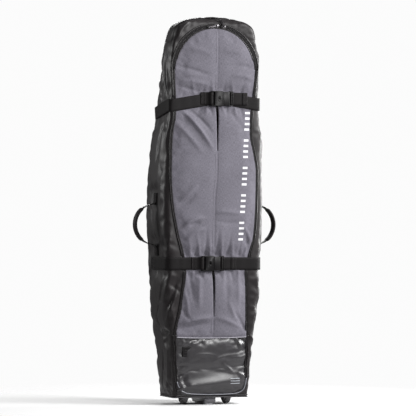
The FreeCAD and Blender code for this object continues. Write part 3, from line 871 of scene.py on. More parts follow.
class Graph:
    """One material's nodes."""

    def __init__(self, name: str) -> None:
        """Starts an empty material with a Principled shader."""
        self.material = bpy.data.materials.new(name)
        self.material.use_nodes = True
        self.tree = self.material.node_tree
        self.tree.nodes.clear()
        self.shader = self.tree.nodes.new("ShaderNodeBsdfPrincipled")
        result = self.tree.nodes.new("ShaderNodeOutputMaterial")
        self.tree.links.new(self.shader.outputs["BSDF"], result.inputs["Surface"])

    def node(self, kind: str, settings: dict | None = None, inputs: dict | None = None, out: int | str = 0) -> Value:
        """Any node.

        Args:
            kind: the node's type.
            settings: its properties, set first.
            inputs: values or links of its sockets.
            out: which output to return.

        Returns:
            The chosen output.
        """
        made = self.tree.nodes.new(kind)
        for key, value in (settings or {}).items():
            setattr(made, key, value)
        for key, value in (inputs or {}).items():
            self.join(made.inputs[key], value)
        return Value(self, made.outputs[out])

    def join(self, socket: bpy.types.NodeSocket, value: "Value | float | Colour") -> None:
        """Links a value to a socket, or sets it."""
        if isinstance(value, Value):
            self.tree.links.new(value.socket, socket)
        else:
            socket.default_value = (*value, 1) if isinstance(value, tuple) and socket.type == "RGBA" else value

    def place(self, object_space: bool = False) -> Value:
        """Where a point lies: on its pattern, or in the row frame."""
        if object_space:
            return self.node("ShaderNodeTexCoord", out="Object")
        return self.node("ShaderNodeUVMap", {"uv_map": UV_NAME})

    def stretched(self, at: Value, by: tuple[float, float, float]) -> Value:
        """Coordinates scaled along each axis."""
        return self.node("ShaderNodeVectorMath", {"operation": "MULTIPLY"}, {0: at, 1: by})

    def noise(self, at: Value, scale: float, detail: float = 2.0, roughness: float = 0.5) -> Value:
        """Soft noise from 0 to 1."""
        return self.node(
            "ShaderNodeTexNoise", None, {"Vector": at, "Scale": scale, "Detail": detail, "Roughness": roughness}
        )

    def blend(self, a: "Value | Colour", b: "Value | Colour", share: "Value | float") -> Value:
        """A colour between two others."""
        return self.node("ShaderNodeMix", {"data_type": "RGBA"}, {0: share, 6: a, 7: b}, 2)

    def bump(self, height: Value, depth: float, strength: float = 1.0, under: Value | None = None) -> Value:
        """Small relief from a height."""
        inputs = {"Height": height, "Distance": depth, "Strength": strength}
        if under is not None:
            inputs["Normal"] = under
        return self.node("ShaderNodeBump", None, inputs)

    def set(self, **sockets: "Value | float | Colour") -> None:
        """Values or links of the shader's own sockets, spelt with underscores."""
        for key, value in sockets.items():
            self.join(self.shader.inputs[key.replace("_", " ").replace("Ior", "IOR")], value)


def srgb(r: float, g: float, b: float) -> Colour:
    """A colour from its 0 to 255 values on screen."""
    return tuple((v / 255 / 12.92) if v / 255 <= 0.04045 else ((v / 255 + 0.055) / 1.055) ** 2.4 for v in (r, g, b))


# ---------------------------------------------------------------- finishes
@dataclass(frozen=True)
class Finish:
    """A material of the bag."""

    name: str
    slot: str

    def material(self) -> bpy.types.Material:
        """The finish's material, made once."""
        known = bpy.data.materials.get(self.name + "_finish")
        if known is None:
            graph = Graph(self.name + "_finish")
            self.paint(graph)
            known = graph.material
        return known

    def paint(self, g: Graph) -> None:
        """Builds the finish's nodes."""
        raise NotImplementedError


@dataclass(frozen=True)
class Woven(Finish):
    """Plain-woven cloth: crossing yarns, uneven dye and a soft sheen."""

    dark: Colour = (0.02, 0.02, 0.02)
    light: Colour = (0.04, 0.04, 0.04)
    pitch: float = 0.0009
    rough: float = 0.55
    relief: float = 0.00012
    sheen: float = 0.0
    gloss: float = 0.5
    marl: float = 0.5

    def yarns(self, g: Graph) -> tuple[Value, Value]:
        """The weave's height and its mottled shade."""
        uv = g.place()
        axes = g.node("ShaderNodeSeparateXYZ", None, {0: uv}, "X")
        turn = 2 * math.pi / self.pitch
        warp, weft = [(axes.part(k) * turn).math("SINE") for k in ("X", "Y")]
        long = g.noise(g.stretched(uv, (900.0, 90.0, 1.0)), 1.0, 3.0, 0.65)
        short = g.noise(g.stretched(uv, (110.0, 800.0, 1.0)), 1.0, 3.0, 0.65)
        return warp * weft, long * 0.5 + short * 0.5

    def paint(self, g: Graph) -> None:
        """Cloth colour, gloss and relief."""
        weave, mottle = self.yarns(g)
        where = g.place(True)
        faded = g.noise(where, 7.0, 3.0)
        share = ((mottle - 0.5) * (2.2 * self.marl) + faded * 0.35 + 0.32).math("MINIMUM", 1.0).math("MAXIMUM", 0.0)
        g.set(
            Base_Color=g.blend(self.dark, self.light, share),
            Roughness=g.noise(where, 26.0) * 0.10 + (self.rough - 0.05),
        )
        g.set(Normal=g.bump(weave, self.relief, 0.6, g.bump(g.noise(where, 45.0, 2.0), 0.0005, 0.15)))
        g.set(Specular_IOR_Level=self.gloss, Sheen_Weight=self.sheen, Sheen_Roughness=0.4)


@dataclass(frozen=True)
class Printed(Woven):
    """The lid's heather cloth with a column of plain bars printed beside its right edge."""

    ink: Colour = (0.62, 0.62, 0.63)

    def paint(self, g: Graph) -> None:
        """Heather cloth with the bars over it."""
        super().paint(g)
        axes = g.node("ShaderNodeSeparateXYZ", None, {0: g.place()}, "X")
        x, z = axes.part("X"), axes.part("Y")
        climb = z - 0.658
        beside = (x - (climb * 0.058 + 0.109)).math("ABSOLUTE") < 0.0105
        bar = (climb / 0.022).math("FRACT") < 0.40
        group = (climb / 0.110).math("FRACT") < 0.79
        mask = beside * bar * group * (climb > 0.0) * (climb < 0.53) * 0.85
        cloth = Value(g, g.shader.inputs["Base Color"].links[0].from_socket)
        g.set(Base_Color=g.blend(cloth, self.ink, mask))


@dataclass(frozen=True)
class Tarpaulin(Finish):
    """Coated cloth: smooth, nearly black and shiny, with a faint grain and scuffs."""

    lines: float = 0.8

    def paint(self, g: Graph) -> None:
        """Coating, scuffs and three plain pale lines low on the right."""
        where = g.place(True)
        scuff = g.noise(g.stretched(where, (14.0, 14.0, 30.0)), 1.0, 5.0, 0.7).eased(0.5, 0.75)
        axes = g.node("ShaderNodeSeparateXYZ", None, {0: g.place()}, "X")
        x, z = axes.part("X"), axes.part("Y")
        lines = ((x - 0.098).math("ABSOLUTE") < 0.021) * (((z - 0.084) / 0.010).math("FRACT") < 0.26) * (z > 0.084) * (
            z < 0.114
        )
        coat = g.blend(srgb(30, 28, 31), srgb(46, 44, 48), scuff)
        g.set(Base_Color=g.blend(coat, srgb(150, 154, 160), lines * self.lines))
        g.set(Roughness=scuff * 0.08 + g.noise(where, 60.0) * 0.06 + 0.31)
        grain = g.noise(g.stretched(g.place(), (1500.0, 1500.0, 1.0)), 1.0, 1.0)
        g.set(
            Normal=g.bump(grain, 0.00002, 0.3, g.bump(g.noise(where, 38.0, 2.0), 0.0006, 0.2)),
            Specular_IOR_Level=0.6,
        )


@dataclass(frozen=True)
class Webbing(Finish):
    """Flat woven webbing: fine ribs across it and a thicker selvedge."""

    dark: Colour = (0.0035, 0.0030, 0.0032)
    light: Colour = (0.0115, 0.0100, 0.0105)

    def paint(self, g: Graph) -> None:
        """Ribs, twill and a dry face."""
        uv = g.place()
        axes = g.node("ShaderNodeSeparateXYZ", None, {0: uv}, "X")
        x, y = axes.part("X"), axes.part("Y")
        rib = (y * (2 * math.pi / 0.0016)).math("SINE")
        twill = ((x + y) * (2 * math.pi / 0.0024)).math("SINE")
        weave = rib * 0.6 + twill * 0.4
        dust = g.noise(g.stretched(uv, (60.0, 400.0, 1.0)), 1.0, 3.0)
        g.set(Base_Color=g.blend(self.dark, self.light, dust * 0.8 + weave * 0.15), Roughness=dust * 0.15 + 0.52)
        g.set(Normal=g.bump(weave, 0.00008, 0.6), Specular_IOR_Level=0.09)


@dataclass(frozen=True)
class Moulded(Finish):
    """Moulded plastic or rubber: a fine spark-eroded grain, paler where edges rub."""

    base: Colour = (0.02, 0.02, 0.02)
    worn: Colour = (0.06, 0.06, 0.06)
    rough: float = 0.42
    grain: float = 0.00002
    metal: float = 0.0
    wear: float = 0.6
    gloss: float = 0.5

    def paint(self, g: Graph) -> None:
        """Plastic colour with worn edges, gloss and grain."""
        where = g.place(True)
        edge = g.node("ShaderNodeNewGeometry", out="Pointiness").eased(0.52, 0.60)
        patch = g.noise(where, 90.0, 4.0, 0.6).eased(0.35, 0.75)
        rub = (edge * patch * self.wear).math("MINIMUM", 1.0)
        cloud = g.noise(where, 24.0, 3.0)
        g.set(Base_Color=g.blend(g.blend(self.base, self.worn, cloud * 0.25), self.worn, rub))
        g.set(Roughness=cloud * 0.16 + rub * 0.1 + (self.rough - 0.08), Metallic=self.metal)
        g.set(Normal=g.bump(g.noise(where, 1400.0, 1.0), self.grain, 0.5), Specular_IOR_Level=self.gloss)


@dataclass(frozen=True)
class Floor(Finish):
    """Pale studio floor that melts into its surroundings."""

    def paint(self, g: Graph) -> None:
        """Pale and matt in the middle, clear at the rim."""
        where = g.place(True)
        far = g.node("ShaderNodeVectorMath", {"operation": "LENGTH"}, {0: where}, "Value")
        tone = g.blend((0.60, 0.60, 0.60), (0.63, 0.63, 0.63), g.noise(where, 3.0))
        g.set(Base_Color=tone, Roughness=0.85, Alpha=1 - far.eased(0.35, 1.5), Specular_IOR_Level=0.2)


HEATHER = Printed(
    "heather_cloth", "heather_canvas", dark=srgb(47, 45, 51), light=srgb(121, 118, 128), pitch=0.0011, rough=0.78,
    relief=0.00005, gloss=0.2, marl=0.9,
)
CANVAS = Woven(
    "black_canvas", "black_canvas", dark=srgb(11, 8, 9), light=srgb(28, 23, 25), pitch=0.0008, rough=0.47,
    relief=0.000008, gloss=0.28, marl=0.35,
)
BACKCLOTH = Woven(
    "back_canvas", "black_canvas", dark=srgb(13, 11, 12), light=srgb(34, 31, 33), pitch=0.0014, rough=0.50,
    relief=0.00005, gloss=0.24, marl=0.45,
)
LINING = Woven(
    "lining_cloth", "foam_sheet", dark=srgb(48, 47, 50), light=srgb(82, 81, 86), pitch=0.0030, rough=0.6,
    relief=0.00005, gloss=0.35, marl=0.3,
)
BINDING = Woven(
    "edge_binding", "piping", dark=srgb(16, 14, 15), light=srgb(34, 31, 32), pitch=0.0010, rough=0.32,
    relief=0.00002, gloss=0.26, marl=0.3,
)
TAPE = Woven(
    "zip_tape", "zip_chain", dark=srgb(12, 11, 12), light=srgb(28, 26, 27), pitch=0.0012, rough=0.6, relief=0.00004,
    gloss=0.12, marl=0.3,
)
SLEEVE = Woven(
    "grip_cloth", "grip_sleeve", dark=srgb(15, 13, 14), light=srgb(36, 32, 33), pitch=0.0016, rough=0.6,
    relief=0.00006, gloss=0.14, marl=0.4,
)
COATED = Tarpaulin("coated_tarpaulin", "coated_tarpaulin")
PATCH = Tarpaulin("patch_tarpaulin", "coated_tarpaulin", lines=0.0)
WEB = Webbing("strap_webbing", "webbing")
TEETH = Moulded("zip_teeth", "zip_chain", base=srgb(20, 18, 19), worn=srgb(60, 58, 60), rough=0.36, gloss=0.20)
THREAD = Moulded("sewing_thread", "webbing", base=srgb(38, 35, 36), worn=srgb(74, 70, 72), rough=0.6, gloss=0.25)
PALE_THREAD = Moulded(
    "lid_thread", "heather_canvas", base=srgb(72, 69, 76), worn=srgb(120, 117, 125), rough=0.65, gloss=0.25
)
BUCKLE = Moulded(
    "buckle_plastic",
    "buckle_plastic",
    base=srgb(13, 12, 13),
    worn=srgb(44, 42, 43),
    rough=0.36,
    gloss=0.12,
    wear=0.25,
)
BASE = Moulded("base_plastic", "base_plastic", base=srgb(34, 32, 34), worn=srgb(92, 90, 93), rough=0.42, gloss=0.30)
FOOT = Moulded("foot_plastic", "base_plastic", base=srgb(66, 65, 69), worn=srgb(130, 129, 133), rough=0.30)
RUNNER = Moulded("runner_plastic", "runner_plastic", base=srgb(150, 150, 156), worn=srgb(196, 196, 201), rough=0.22)
TYRE = Moulded(
    "tyre_rubber",
    "tyre_rubber",
    base=srgb(92, 91, 93),
    worn=srgb(128, 126, 128),
    rough=0.62,
    grain=0.00004,
    gloss=0.35,
)
HUB = Moulded("hub_plastic", "hub_plastic", base=srgb(112, 112, 117), worn=srgb(160, 160, 164), rough=0.4)
STEEL = Moulded("steel", "steel", base=srgb(150, 150, 154), worn=srgb(205, 205, 208), rough=0.30, metal=1.0)
ZIP_METAL = Moulded(
    "zip_metal", "zip_metal", base=srgb(44, 42, 44), worn=srgb(128, 126, 128), rough=0.34, metal=1.0, wear=1.0
)
# Heather about twice as pale as the lid's own cloth, used only on the hem's roll: the paleness is a painted highlight
# along the roll's lit edge.
HEM_HIGHLIGHT_HEATHER = Woven(
    "heather_binding", "heather_canvas", dark=srgb(84, 81, 88), light=srgb(176, 173, 182), pitch=0.0011, rough=0.7,
    relief=0.00005, gloss=0.3, marl=0.9,
)
RIM = Moulded("foot_rim", "piping", base=srgb(84, 84, 90), worn=srgb(140, 142, 150), rough=0.28)
FLOOR = Floor("studio_floor", "")


def dress(piece: bpy.types.Object, finish: Finish, body: str = "bag", replaces: Sequence[str] = ()) -> bpy.types.Object:
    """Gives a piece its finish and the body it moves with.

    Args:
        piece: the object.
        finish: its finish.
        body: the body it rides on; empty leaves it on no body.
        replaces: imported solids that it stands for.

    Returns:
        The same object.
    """
    piece.data.materials.clear()
    piece.data.materials.append(finish.material())
    if body:
        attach(piece, body)
    if replaces:
        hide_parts(*replaces)
    log.info("%s: %d faces, %s", piece.name, len(piece.data.polygons), finish.name)
    return piece


def dress_nodes(finish: Finish, *nodes: str) -> None:
    """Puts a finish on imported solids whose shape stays."""
    for name in nodes:
        solid = frame["nodes"][name]
        solid.data.materials.clear()
        solid.data.materials.append(finish.material())
        solid.material_slots[0].material = finish.material()
        log.info("%s: packed shape, %s", name, finish.name)


def rounded(node: str, width: float, finish: Finish) -> None:
    """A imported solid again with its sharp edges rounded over, riding where the node does.

    Args:
        node: the solid's node.
        width: size of the rounding.
        finish: its finish.
    """
    weld, flat_angle, sharp_angle, bevel_angle = 2e-5, 2.0, 38, 35
    work = bmesh.new()
    work.from_mesh(frame["nodes"][node].data)
    bmesh.ops.remove_doubles(work, verts=work.verts, dist=weld)
    bmesh.ops.dissolve_limit(work, angle_limit=math.radians(flat_angle), verts=work.verts, edges=work.edges)
    piece = mesh_object(node + "_rounded", np.zeros((0, 3)), [])
    work.to_mesh(piece.data)
    work.free()
    edge = piece.modifiers.new("Edge", "BEVEL")
    edge.width, edge.segments, edge.limit_method, edge.angle_limit = width, 2, "ANGLE", math.radians(bevel_angle)
    bake_modifiers(piece)
    piece.data.polygons.foreach_set("use_smooth", [True] * len(piece.data.polygons))
    piece.data.set_sharp_from_angle(angle=math.radians(sharp_angle))
    dress(piece, finish, frame["nodes"][node]["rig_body"], (node,))


def stitched(
    name: str,
    path: Array,
    out: Array,
    body: str,
    finish: Finish = THREAD,
    pitch: float = 0.0052,
) -> bpy.types.Object:
    """A row of stitches along a path on the cloth."""
    spots, ways = even(path, pitch), even(np.hstack([path, out]), pitch)
    n = min(len(spots), len(ways))
    facing = unit(ways[:n, 3:])
    row = studs(
        name,
        spots[:n] + facing * 0.0002,
        unit(np.gradient(spots[:n], axis=0)),
        facing,
        (0.0036, 0.0009, 0.0006),
        0.55,
    )
    return dress(row, finish, body)


def dropped(cloth: bpy.types.Object, name: str, flat: Array, facing: Facing, finish: Finish, body: str = "bag") -> None:
    """A row of stitches dropped straight onto the front or the back of a finished cloth.

    Args:
        cloth: the cloth.
        name: the row's name.
        flat: places of the row, across and up.
        facing: the side that it is dropped from.
        finish: the thread's finish.
        body: the body it rides on.
    """
    clear_of_bag = 0.3
    s = facing.value
    tree = BVHTree.FromPolygons([v.co for v in cloth.data.vertices], [tuple(p.vertices) for p in cloth.data.polygons])
    path, out = [], []
    for x, z in flat:
        hit, normal, *_ = tree.ray_cast(Vector((x, s * clear_of_bag, z)), Vector((0, -s, 0)))
        if hit is not None:
            path.append(hit)
            out.append(normal if normal.y * s > 0 else -normal)
    stitched(name, np.array(path), np.array(out), body, finish)


# ---------------------------------------------------------------- panels on the front and back
@dataclass
class FacePanel:
    """A cut of cloth on the front or the back, drawn across and up."""

    name: str
    outline: Array
    facing: Facing
    spacing: float = 0.006
    holes: list[Array] = field(default_factory=list)
    creases: list[Array] = field(default_factory=list)
    folds: list[Fold] = field(default_factory=list)
    settling: Settling | None = None
    thick: float = 0.0014
    offset: float = 0.0

    def puff(self, at: Array) -> Array:
        """How far the filled bag pushes the cloth out, before any folds."""
        return np.zeros(len(at))

    def slack(self, at: Array) -> Array:
        """How much of the settling cloth's slack there is, from 0 to 1."""
        return np.ones(len(at))

    def edge_distance(self, at: Array) -> Array:
        """How far places lie inside the cut's edge, below zero outside."""
        edge = even(np.vstack([self.outline, self.outline[:1]]), 0.006)
        far = np.full(len(at), 1.0)
        for part in np.array_split(edge, max(1, len(edge) // 100)):
            far = np.minimum(far, np.linalg.norm(at[:, None] - part[None], axis=2).min(1))
        return np.where(inside(at, self.outline), far, -far)

    def relief(self) -> Relief:
        """Settles the cloth on a coarse grid."""
        low, high = self.outline.min(0), self.outline.max(0)
        across, up = [np.linspace(low[k], high[k], round((high[k] - low[k]) / 0.0095) + 1) for k in (0, 1)]
        x, z = np.meshgrid(across, up, indexing="ij")
        flat = np.stack([x.ravel(), z.ravel()], 1)
        points = FORM.face(x, z, self.facing)
        depth = self.edge_distance(flat).reshape(x.shape)
        free = smooth(depth, 0.004, 0.022) * free_of_straps(points, 0.026, 0.045)
        out = np.zeros(points.shape)
        out[..., 1] = self.facing.value
        slack = self.slack(flat).reshape(x.shape)
        moved = self.settling.run(points, out, 1 - free, 1 - slack)
        return Relief(moved, tuple(low), tuple(high))

    def build(self) -> bpy.types.Object:
        """Cuts, shapes and thickens the panel."""
        flat, faces = cut_pattern(self.outline, self.holes, self.creases, self.spacing)
        self.area = pattern_area(flat, faces)
        base = FORM.face(flat[:, 0], flat[:, 1], self.facing)
        out = FORM.outward(base)
        lift = self.puff(flat) + 1.25 * folded(flat, self.folds) * free_of_straps(base, 0.024, 0.034)
        if self.settling is not None:
            lift = lift + self.relief()(flat)
        lift = lift * smooth(self.edge_distance(flat), -0.001, 0.010) + self.offset
        lift = np.minimum(
            lift, np.where(free_of_straps(base, 0.025, 0.030) < 0.5, 0.0006, 1.0)
        ) if self.facing is Facing.FRONT else lift
        piece = mesh_object(self.name, base + out * lift[:, None], faces, flat)
        face_outward(piece, out)
        return thicken(piece, self.thick)

    def flat_size(self) -> tuple[float, float]:
        """Width and length of the cut."""
        size = self.outline.max(0) - self.outline.min(0)
        return float(size[0]), float(size[1])


# height, and how far right of the middle the lid's centre seam runs
SEAM_LINE = Profile((
    (0.25, 0.0), (0.35, 0.0), (0.54, -0.003), (0.82, -0.003), (0.90, 0.004), (1.01, 0.007), (1.2, 0.008),
    (1.51, 0.010),
))

# height, and how far the filled bag pushes the lid out
LID_FULLNESS = Profile((
    (0.27, 0.004), (0.34, 0.007), (0.45, 0.008), (0.56, 0.003), (0.66, 0.008), (0.9, 0.011), (1.1, 0.008),
    (1.22, 0.004), (1.33, 0.004), (1.42, 0.005), (1.51, 0.003),
))


def centre_seam(z: Array) -> Array:
    """Where the lid's centre seam runs."""
    return SEAM_LINE(z)


class LidPanel(FacePanel):
    """The grey front: two halves joined down the middle, with a slit above and below, and the flap."""

    def puff(self, at: Array) -> Array:
        """Fullest between the straps, with a shallow valley down the centre seam."""
        x, z = at[:, 0], at[:, 1]
        base = FORM.face(x, z, self.facing)
        left, right = FORM.lid_edge(Side.LEFT, z, 0), FORM.lid_edge(Side.RIGHT, z, 0)
        t = np.clip((x - left) / (right - left), 0, 1)
        dome = (4 * t * (1 - t)) ** 0.6
        height = LID_FULLNESS(z)
        seam = centre_seam(z)
        valley = 0.0022 * np.exp(-(((x - seam) / 0.020) ** 2)) + 0.0012 * np.exp(-(((x - seam) / 0.0022) ** 2))
        return (height * dome - valley) * free_of_straps(base, 0.026, 0.075)

    def slack(self, at: Array) -> Array:
        """Most slack beside the straps and along the left edge."""
        z = at[:, 1]
        near = np.exp(-(((z - 0.64) / 0.09) ** 2)) + np.exp(-(((z - 1.13) / 0.08) ** 2)) + np.exp(
            -(((z - 0.46) / 0.09) ** 2)
        )
        return np.clip(0.35 + 0.65 * near + 0.3 * (at[:, 0] < -0.05), 0, 1)


class BootPanel(FacePanel):
    """The glossy lower front, with a soft roll above its foot."""

    def puff(self, at: Array) -> Array:
        """A full belly and a roll near the foot."""
        x, z = at[:, 0], at[:, 1]
        t = np.clip((x + 0.15) / 0.30, 0, 1)
        dome = (4 * t * (1 - t)) ** 0.5
        roll = 0.012 * np.exp(-(((z - 0.080 - 0.010 * np.sin(x * 14)) / 0.030) ** 2))
        return dome * (
            0.005 * np.sin(np.pi * np.clip((z - 0.04) / 0.25, 0, 1)) + roll - 0.003 * np.exp(
                -(((z - 0.145) / 0.018) ** 2)
            )
        )


class BackPanel(FacePanel):
    """The back: flat between its seams, with quilted channels across it."""

    def puff(self, at: Array) -> Array:
        """Padding between the quilting lines."""
        x, z = at[:, 0], at[:, 1]
        across = np.clip(np.abs(x) / np.maximum(FORM.back_seam(z), 0.02), 0, 1)
        channel = np.abs(np.sin(np.pi * (z - 0.10) / 0.165)) ** 0.45
        return (1 - across**4) * (0.003 + 0.004 * channel * smooth(z, 0.05, 0.12) * (1 - smooth(z, 1.38, 1.43)))


class PatchPanel(FacePanel):
    """A small patch sewn flat on the front."""

    def edge_distance(self, at: Array) -> Array:
        """A patch keeps its thickness up to its edge."""
        return np.full(len(at), 1.0)


@dataclass
class Front:
    """Lid, flap, boot panel and everything sewn to them."""

    flap_r: float = 0.1665
    hem_z: float = 0.272
    hem_ends: tuple[float, float] = (-0.1515, 0.1435)
    stitch_gap: float = 0.0065
    stitch_step: float = 0.004

    def hem_height(self, x: Array, above: float = 0.0) -> Array:
        """The lid's hem, which sags in the middle, or a line above it."""
        sag, reach = 0.0045, 0.16
        return self.hem_z + above - sag * (1 - (x / reach) ** 2)

    def lid_outline(self) -> Array:
        """Edge of the grey cloth, from the hem up both sides and over the arch."""
        z = np.append(np.arange(self.hem_z, 1.318, 0.012), (1.326, 1.334))
        beside = 0.0075 - 0.0045 * smooth(z, 0.285, 0.310) + 0.0060 * smooth(z, 1.250, 1.334)
        right = np.stack([FORM.lid_edge(Side.RIGHT, z, beside), z], 1)
        left = np.stack([FORM.lid_edge(Side.LEFT, z, beside), z], 1)
        a = np.linspace(0, np.pi, 60)
        r = self.flap_r + 0.0045 * (1 - smooth(np.sin(a), 0.0, 0.45))
        arch = np.stack([r * np.cos(a), FOLD_Z + r * np.sin(a)], 1)
        x = np.linspace(*self.hem_ends, 24)
        hem = np.stack([x, self.hem_height(x)], 1)
        return np.vstack([hem, right[1:], arch, left[::-1][:-1]])

    def slit(self, low: float, high: float) -> Array:
        """A slit at the centre seam that narrows downwards."""
        z = np.linspace(low, high, 24)
        t = (z - low) / (high - low)
        half = 0.0001 + 0.0054 * t**0.7 * (1 - smooth(t, 0.95, 1.0) * 0.6)
        x = centre_seam(z)
        return np.vstack([np.stack([x + half, z], 1), np.stack([x - half, z], 1)[::-1]])

    def lid_folds(self) -> list[Fold]:
        """Folds of the lid: pulls at the straps, drags across the left half and dents low down."""
        deep = fold_table([
            (-150, 1185, -75, 1120, -8, 1015, 75, 110),
            (-120, 1182, -60, 1150, -12, 1080, -50, 100),
            (-172, 1130, -120, 1085, -50, 1000, 40, 130),
            (-176, 1300, -120, 1318, -70, 1322, 42, 80),
            (-172, 1352, -110, 1345, -20, 1315, -38, 100),
            (-174, 1275, -120, 1265, -30, 1240, -40, 90),
            (-160, 1290, -100, 1300, -10, 1270, 36, 120),
            (-130, 1425, -70, 1420, -10, 1400, 30, 160),
            (172, 1300, 130, 1318, 60, 1318, 34, 100),
            (168, 1345, 120, 1365, 50, 1350, -30, 120),
            (30, 1420, 80, 1410, 130, 1420, 28, 160),
            (-140, 700, -105, 750, -45, 748, 68, 110),
            (-110, 710, -85, 727, -60, 728, -50, 90),
            (-125, 655, -90, 700, -35, 705, 50, 100),
            (-165, 790, -120, 800, -80, 850, -52, 150),
            (-150, 815, -110, 840, -75, 890, 36, 140),
            (0, 770, 50, 775, 110, 765, 40, 120),
            (0, 735, 60, 720, 130, 735, -35, 130),
            (115, 715, 140, 700, 155, 650, 45, 90),
            (130, 680, 145, 650, 140, 610, -40, 70),
            (-150, 322, -80, 350, -4, 352, 95, 110),
            (-150, 298, -80, 318, -6, 332, -75, 110),
            (-132, 395, -120, 360, -95, 335, -50, 90),
            (-128, 470, -110, 410, -105, 350, 40, 90),
            (3, 352, 60, 345, 130, 300, 45, 120),
            (85, 375, 125, 330, 145, 285, -55, 90),
            (60, 430, 75, 370, 110, 330, 35, 120),
            (-60, 520, -70, 450, -60, 380, 45, 130),
            (-95, 530, -100, 470, -85, 410, -40, 110),
            (55, 530, 50, 460, 60, 400, -30, 140),
            (105, 520, 100, 450, 110, 400, 32, 120),
        ])
        above = np.array(
            [
                (-0.118, 0.592), (-0.100, 0.594), (-0.082, 0.592), (-0.062, 0.596), (-0.040, 0.598),
                (-0.018, 0.600), (0.006, 0.600), (0.030, 0.598), (0.052, 0.593), (0.078, 0.592), (0.104, 0.592),
                (0.128, 0.592),
            ]
        )
        deep += puckers(
            above,
            [108, 98, 80, 100, 88, 95, 84, 92, 80, 96, 84, 76],
            [0.07, 0.09, 0.06, 0.12, 0.13, 0.10, 0.13, 0.11, 0.12, 0.09, 0.1, 0.07],
            0.0052,
            0.0065,
        )
        below = np.array(
            [
                (-0.110, 0.540),
                (-0.088, 0.538),
                (-0.060, 0.536),
                (-0.036, 0.534),
                (0.020, 0.534),
                (0.044, 0.536),
                (0.074, 0.539),
                (0.104, 0.540),
            ]
        )
        deep += puckers(
            below,
            [-84, -96, -70, -110, -68, -100, -84, -92],
            [0.06, 0.08, 0.06, 0.05, 0.05, 0.06, 0.07, 0.06],
            0.0050,
            0.0065,
        )
        under = np.array(
            [
                (-0.060, 1.186),
                (-0.034, 1.190),
                (-0.020, 1.191),
                (0.030, 1.193),
                (0.052, 1.194),
                (0.084, 1.192),
                (0.110, 1.190),
            ]
        )
        deep += puckers(
            under,
            [-118, -104, -80, -72, -96, -82, -78],
            [0.06, 0.045, 0.05, 0.045, 0.06, 0.05, 0.05],
            0.0050,
            0.0065,
        )
        over = np.array(
            [
                (-0.140, 1.228),
                (-0.090, 1.246),
                (-0.050, 1.254),
                (-0.010, 1.256),
                (0.036, 1.256),
                (0.074, 1.254),
                (0.110, 1.248),
            ]
        )
        deep += puckers(over, [72, 104, 84, 96, 82, 100, 76], [0.06, 0.07, 0.05, 0.06, 0.06, 0.05, 0.07], 0.0034, 0.008)
        return deep

    def build_lid(self) -> None:
        """Cuts the lid and flap as one sheet."""
        z = np.arange(self.hem_z + 0.004, 1.500, 0.010)
        lines = []
        for low, high in ((self.hem_z + 0.006, 0.345), (0.546, 1.006), (1.204, 1.498)):
            part = z[(z > low) & (z < high)]
            lines += [np.stack([centre_seam(part) + dx, part], 1) for dx in (-0.0035, 0.0, 0.0035)]
        slits = [self.slit(0.352, 0.541), self.slit(1.012, 1.197)]
        settling = Settling(0.035, 0.5, 20, 0.006)
        outline, folds = self.lid_outline(), self.lid_folds()
        lid = LidPanel("lid_cloth", outline, Facing.FRONT, 0.0056, slits, lines, folds, settling, offset=0.0002)
        piece = lid.build()
        hem = np.array([v.co for v in piece.data.vertices])
        push = 0.0042 * (1 - smooth(hem[:, 2], 0.276, 0.318))
        for v, d in zip(piece.data.vertices, push):
            v.co.y -= d
        piece.data.update()
        dress(piece, HEATHER, "", ("lid_left_panel", "lid_right_panel", "flap_left_panel", "flap_right_panel"))
        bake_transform(piece)
        lid.flat_size()
        self.back_slits()
        self.sew_lid(piece)

    def back_slits(self) -> None:
        """The dark strips seen through the two slits."""
        for name, low, high in (("lower_slit_backing", 0.335, 0.575), ("upper_slit_backing", 0.995, 1.215)):
            z = np.arange(low, high, 0.006)
            path = np.stack([centre_seam(z), np.full(len(z), FRONT_Y + 0.003) + (FORM.front(z) - FRONT_Y), z], 1)
            dress(sweep(name, path, ways(FRONTWARD, len(z)), flat_profile(0.030, CLOTH_THICK)), TAPE)

    def sew_lid(self, piece: bpy.types.Object) -> None:
        """Stitches beside the centre seam and the hem, and the hem's roll."""
        both, left = ((0, -self.stitch_gap), (1, self.stitch_gap)), (("", -self.stitch_gap),)
        for name, low, high, rows, body in (
            ("lower_seam_thread_", 0.290, 0.344, both, "bag"),
            ("middle_seam_thread_", 0.610, 1.004, both, "bag"),
            ("upper_seam_thread", 1.262, 1.318, left, "bag"),
            ("flap_seam_thread", 1.362, 1.497, left, "flap"),
        ):
            z = np.arange(low, high, self.stitch_step)
            for mark, dx in rows:
                flat = np.stack([centre_seam(z) + dx, z], 1)
                dropped(piece, f"{name}{mark}", flat, Facing.FRONT, PALE_THREAD, body)
        x = np.linspace(*self.hem_ends, 70)
        dropped(piece, "hem_thread", np.stack([x, self.hem_height(x, 0.010)], 1), Facing.FRONT, PALE_THREAD)
        y = float(FORM.front(0.272)) - 0.0040
        hem_path = np.stack([x, np.full(len(x), y), self.hem_height(x)], 1)
        # The hem roll wears the pale heather copy: a painted highlight on its lower edge.
        dress(sweep("lid_hem_roll", hem_path, ways(FRONTWARD, len(x)), round_profile(0.0021)), HEM_HIGHLIGHT_HEATHER)

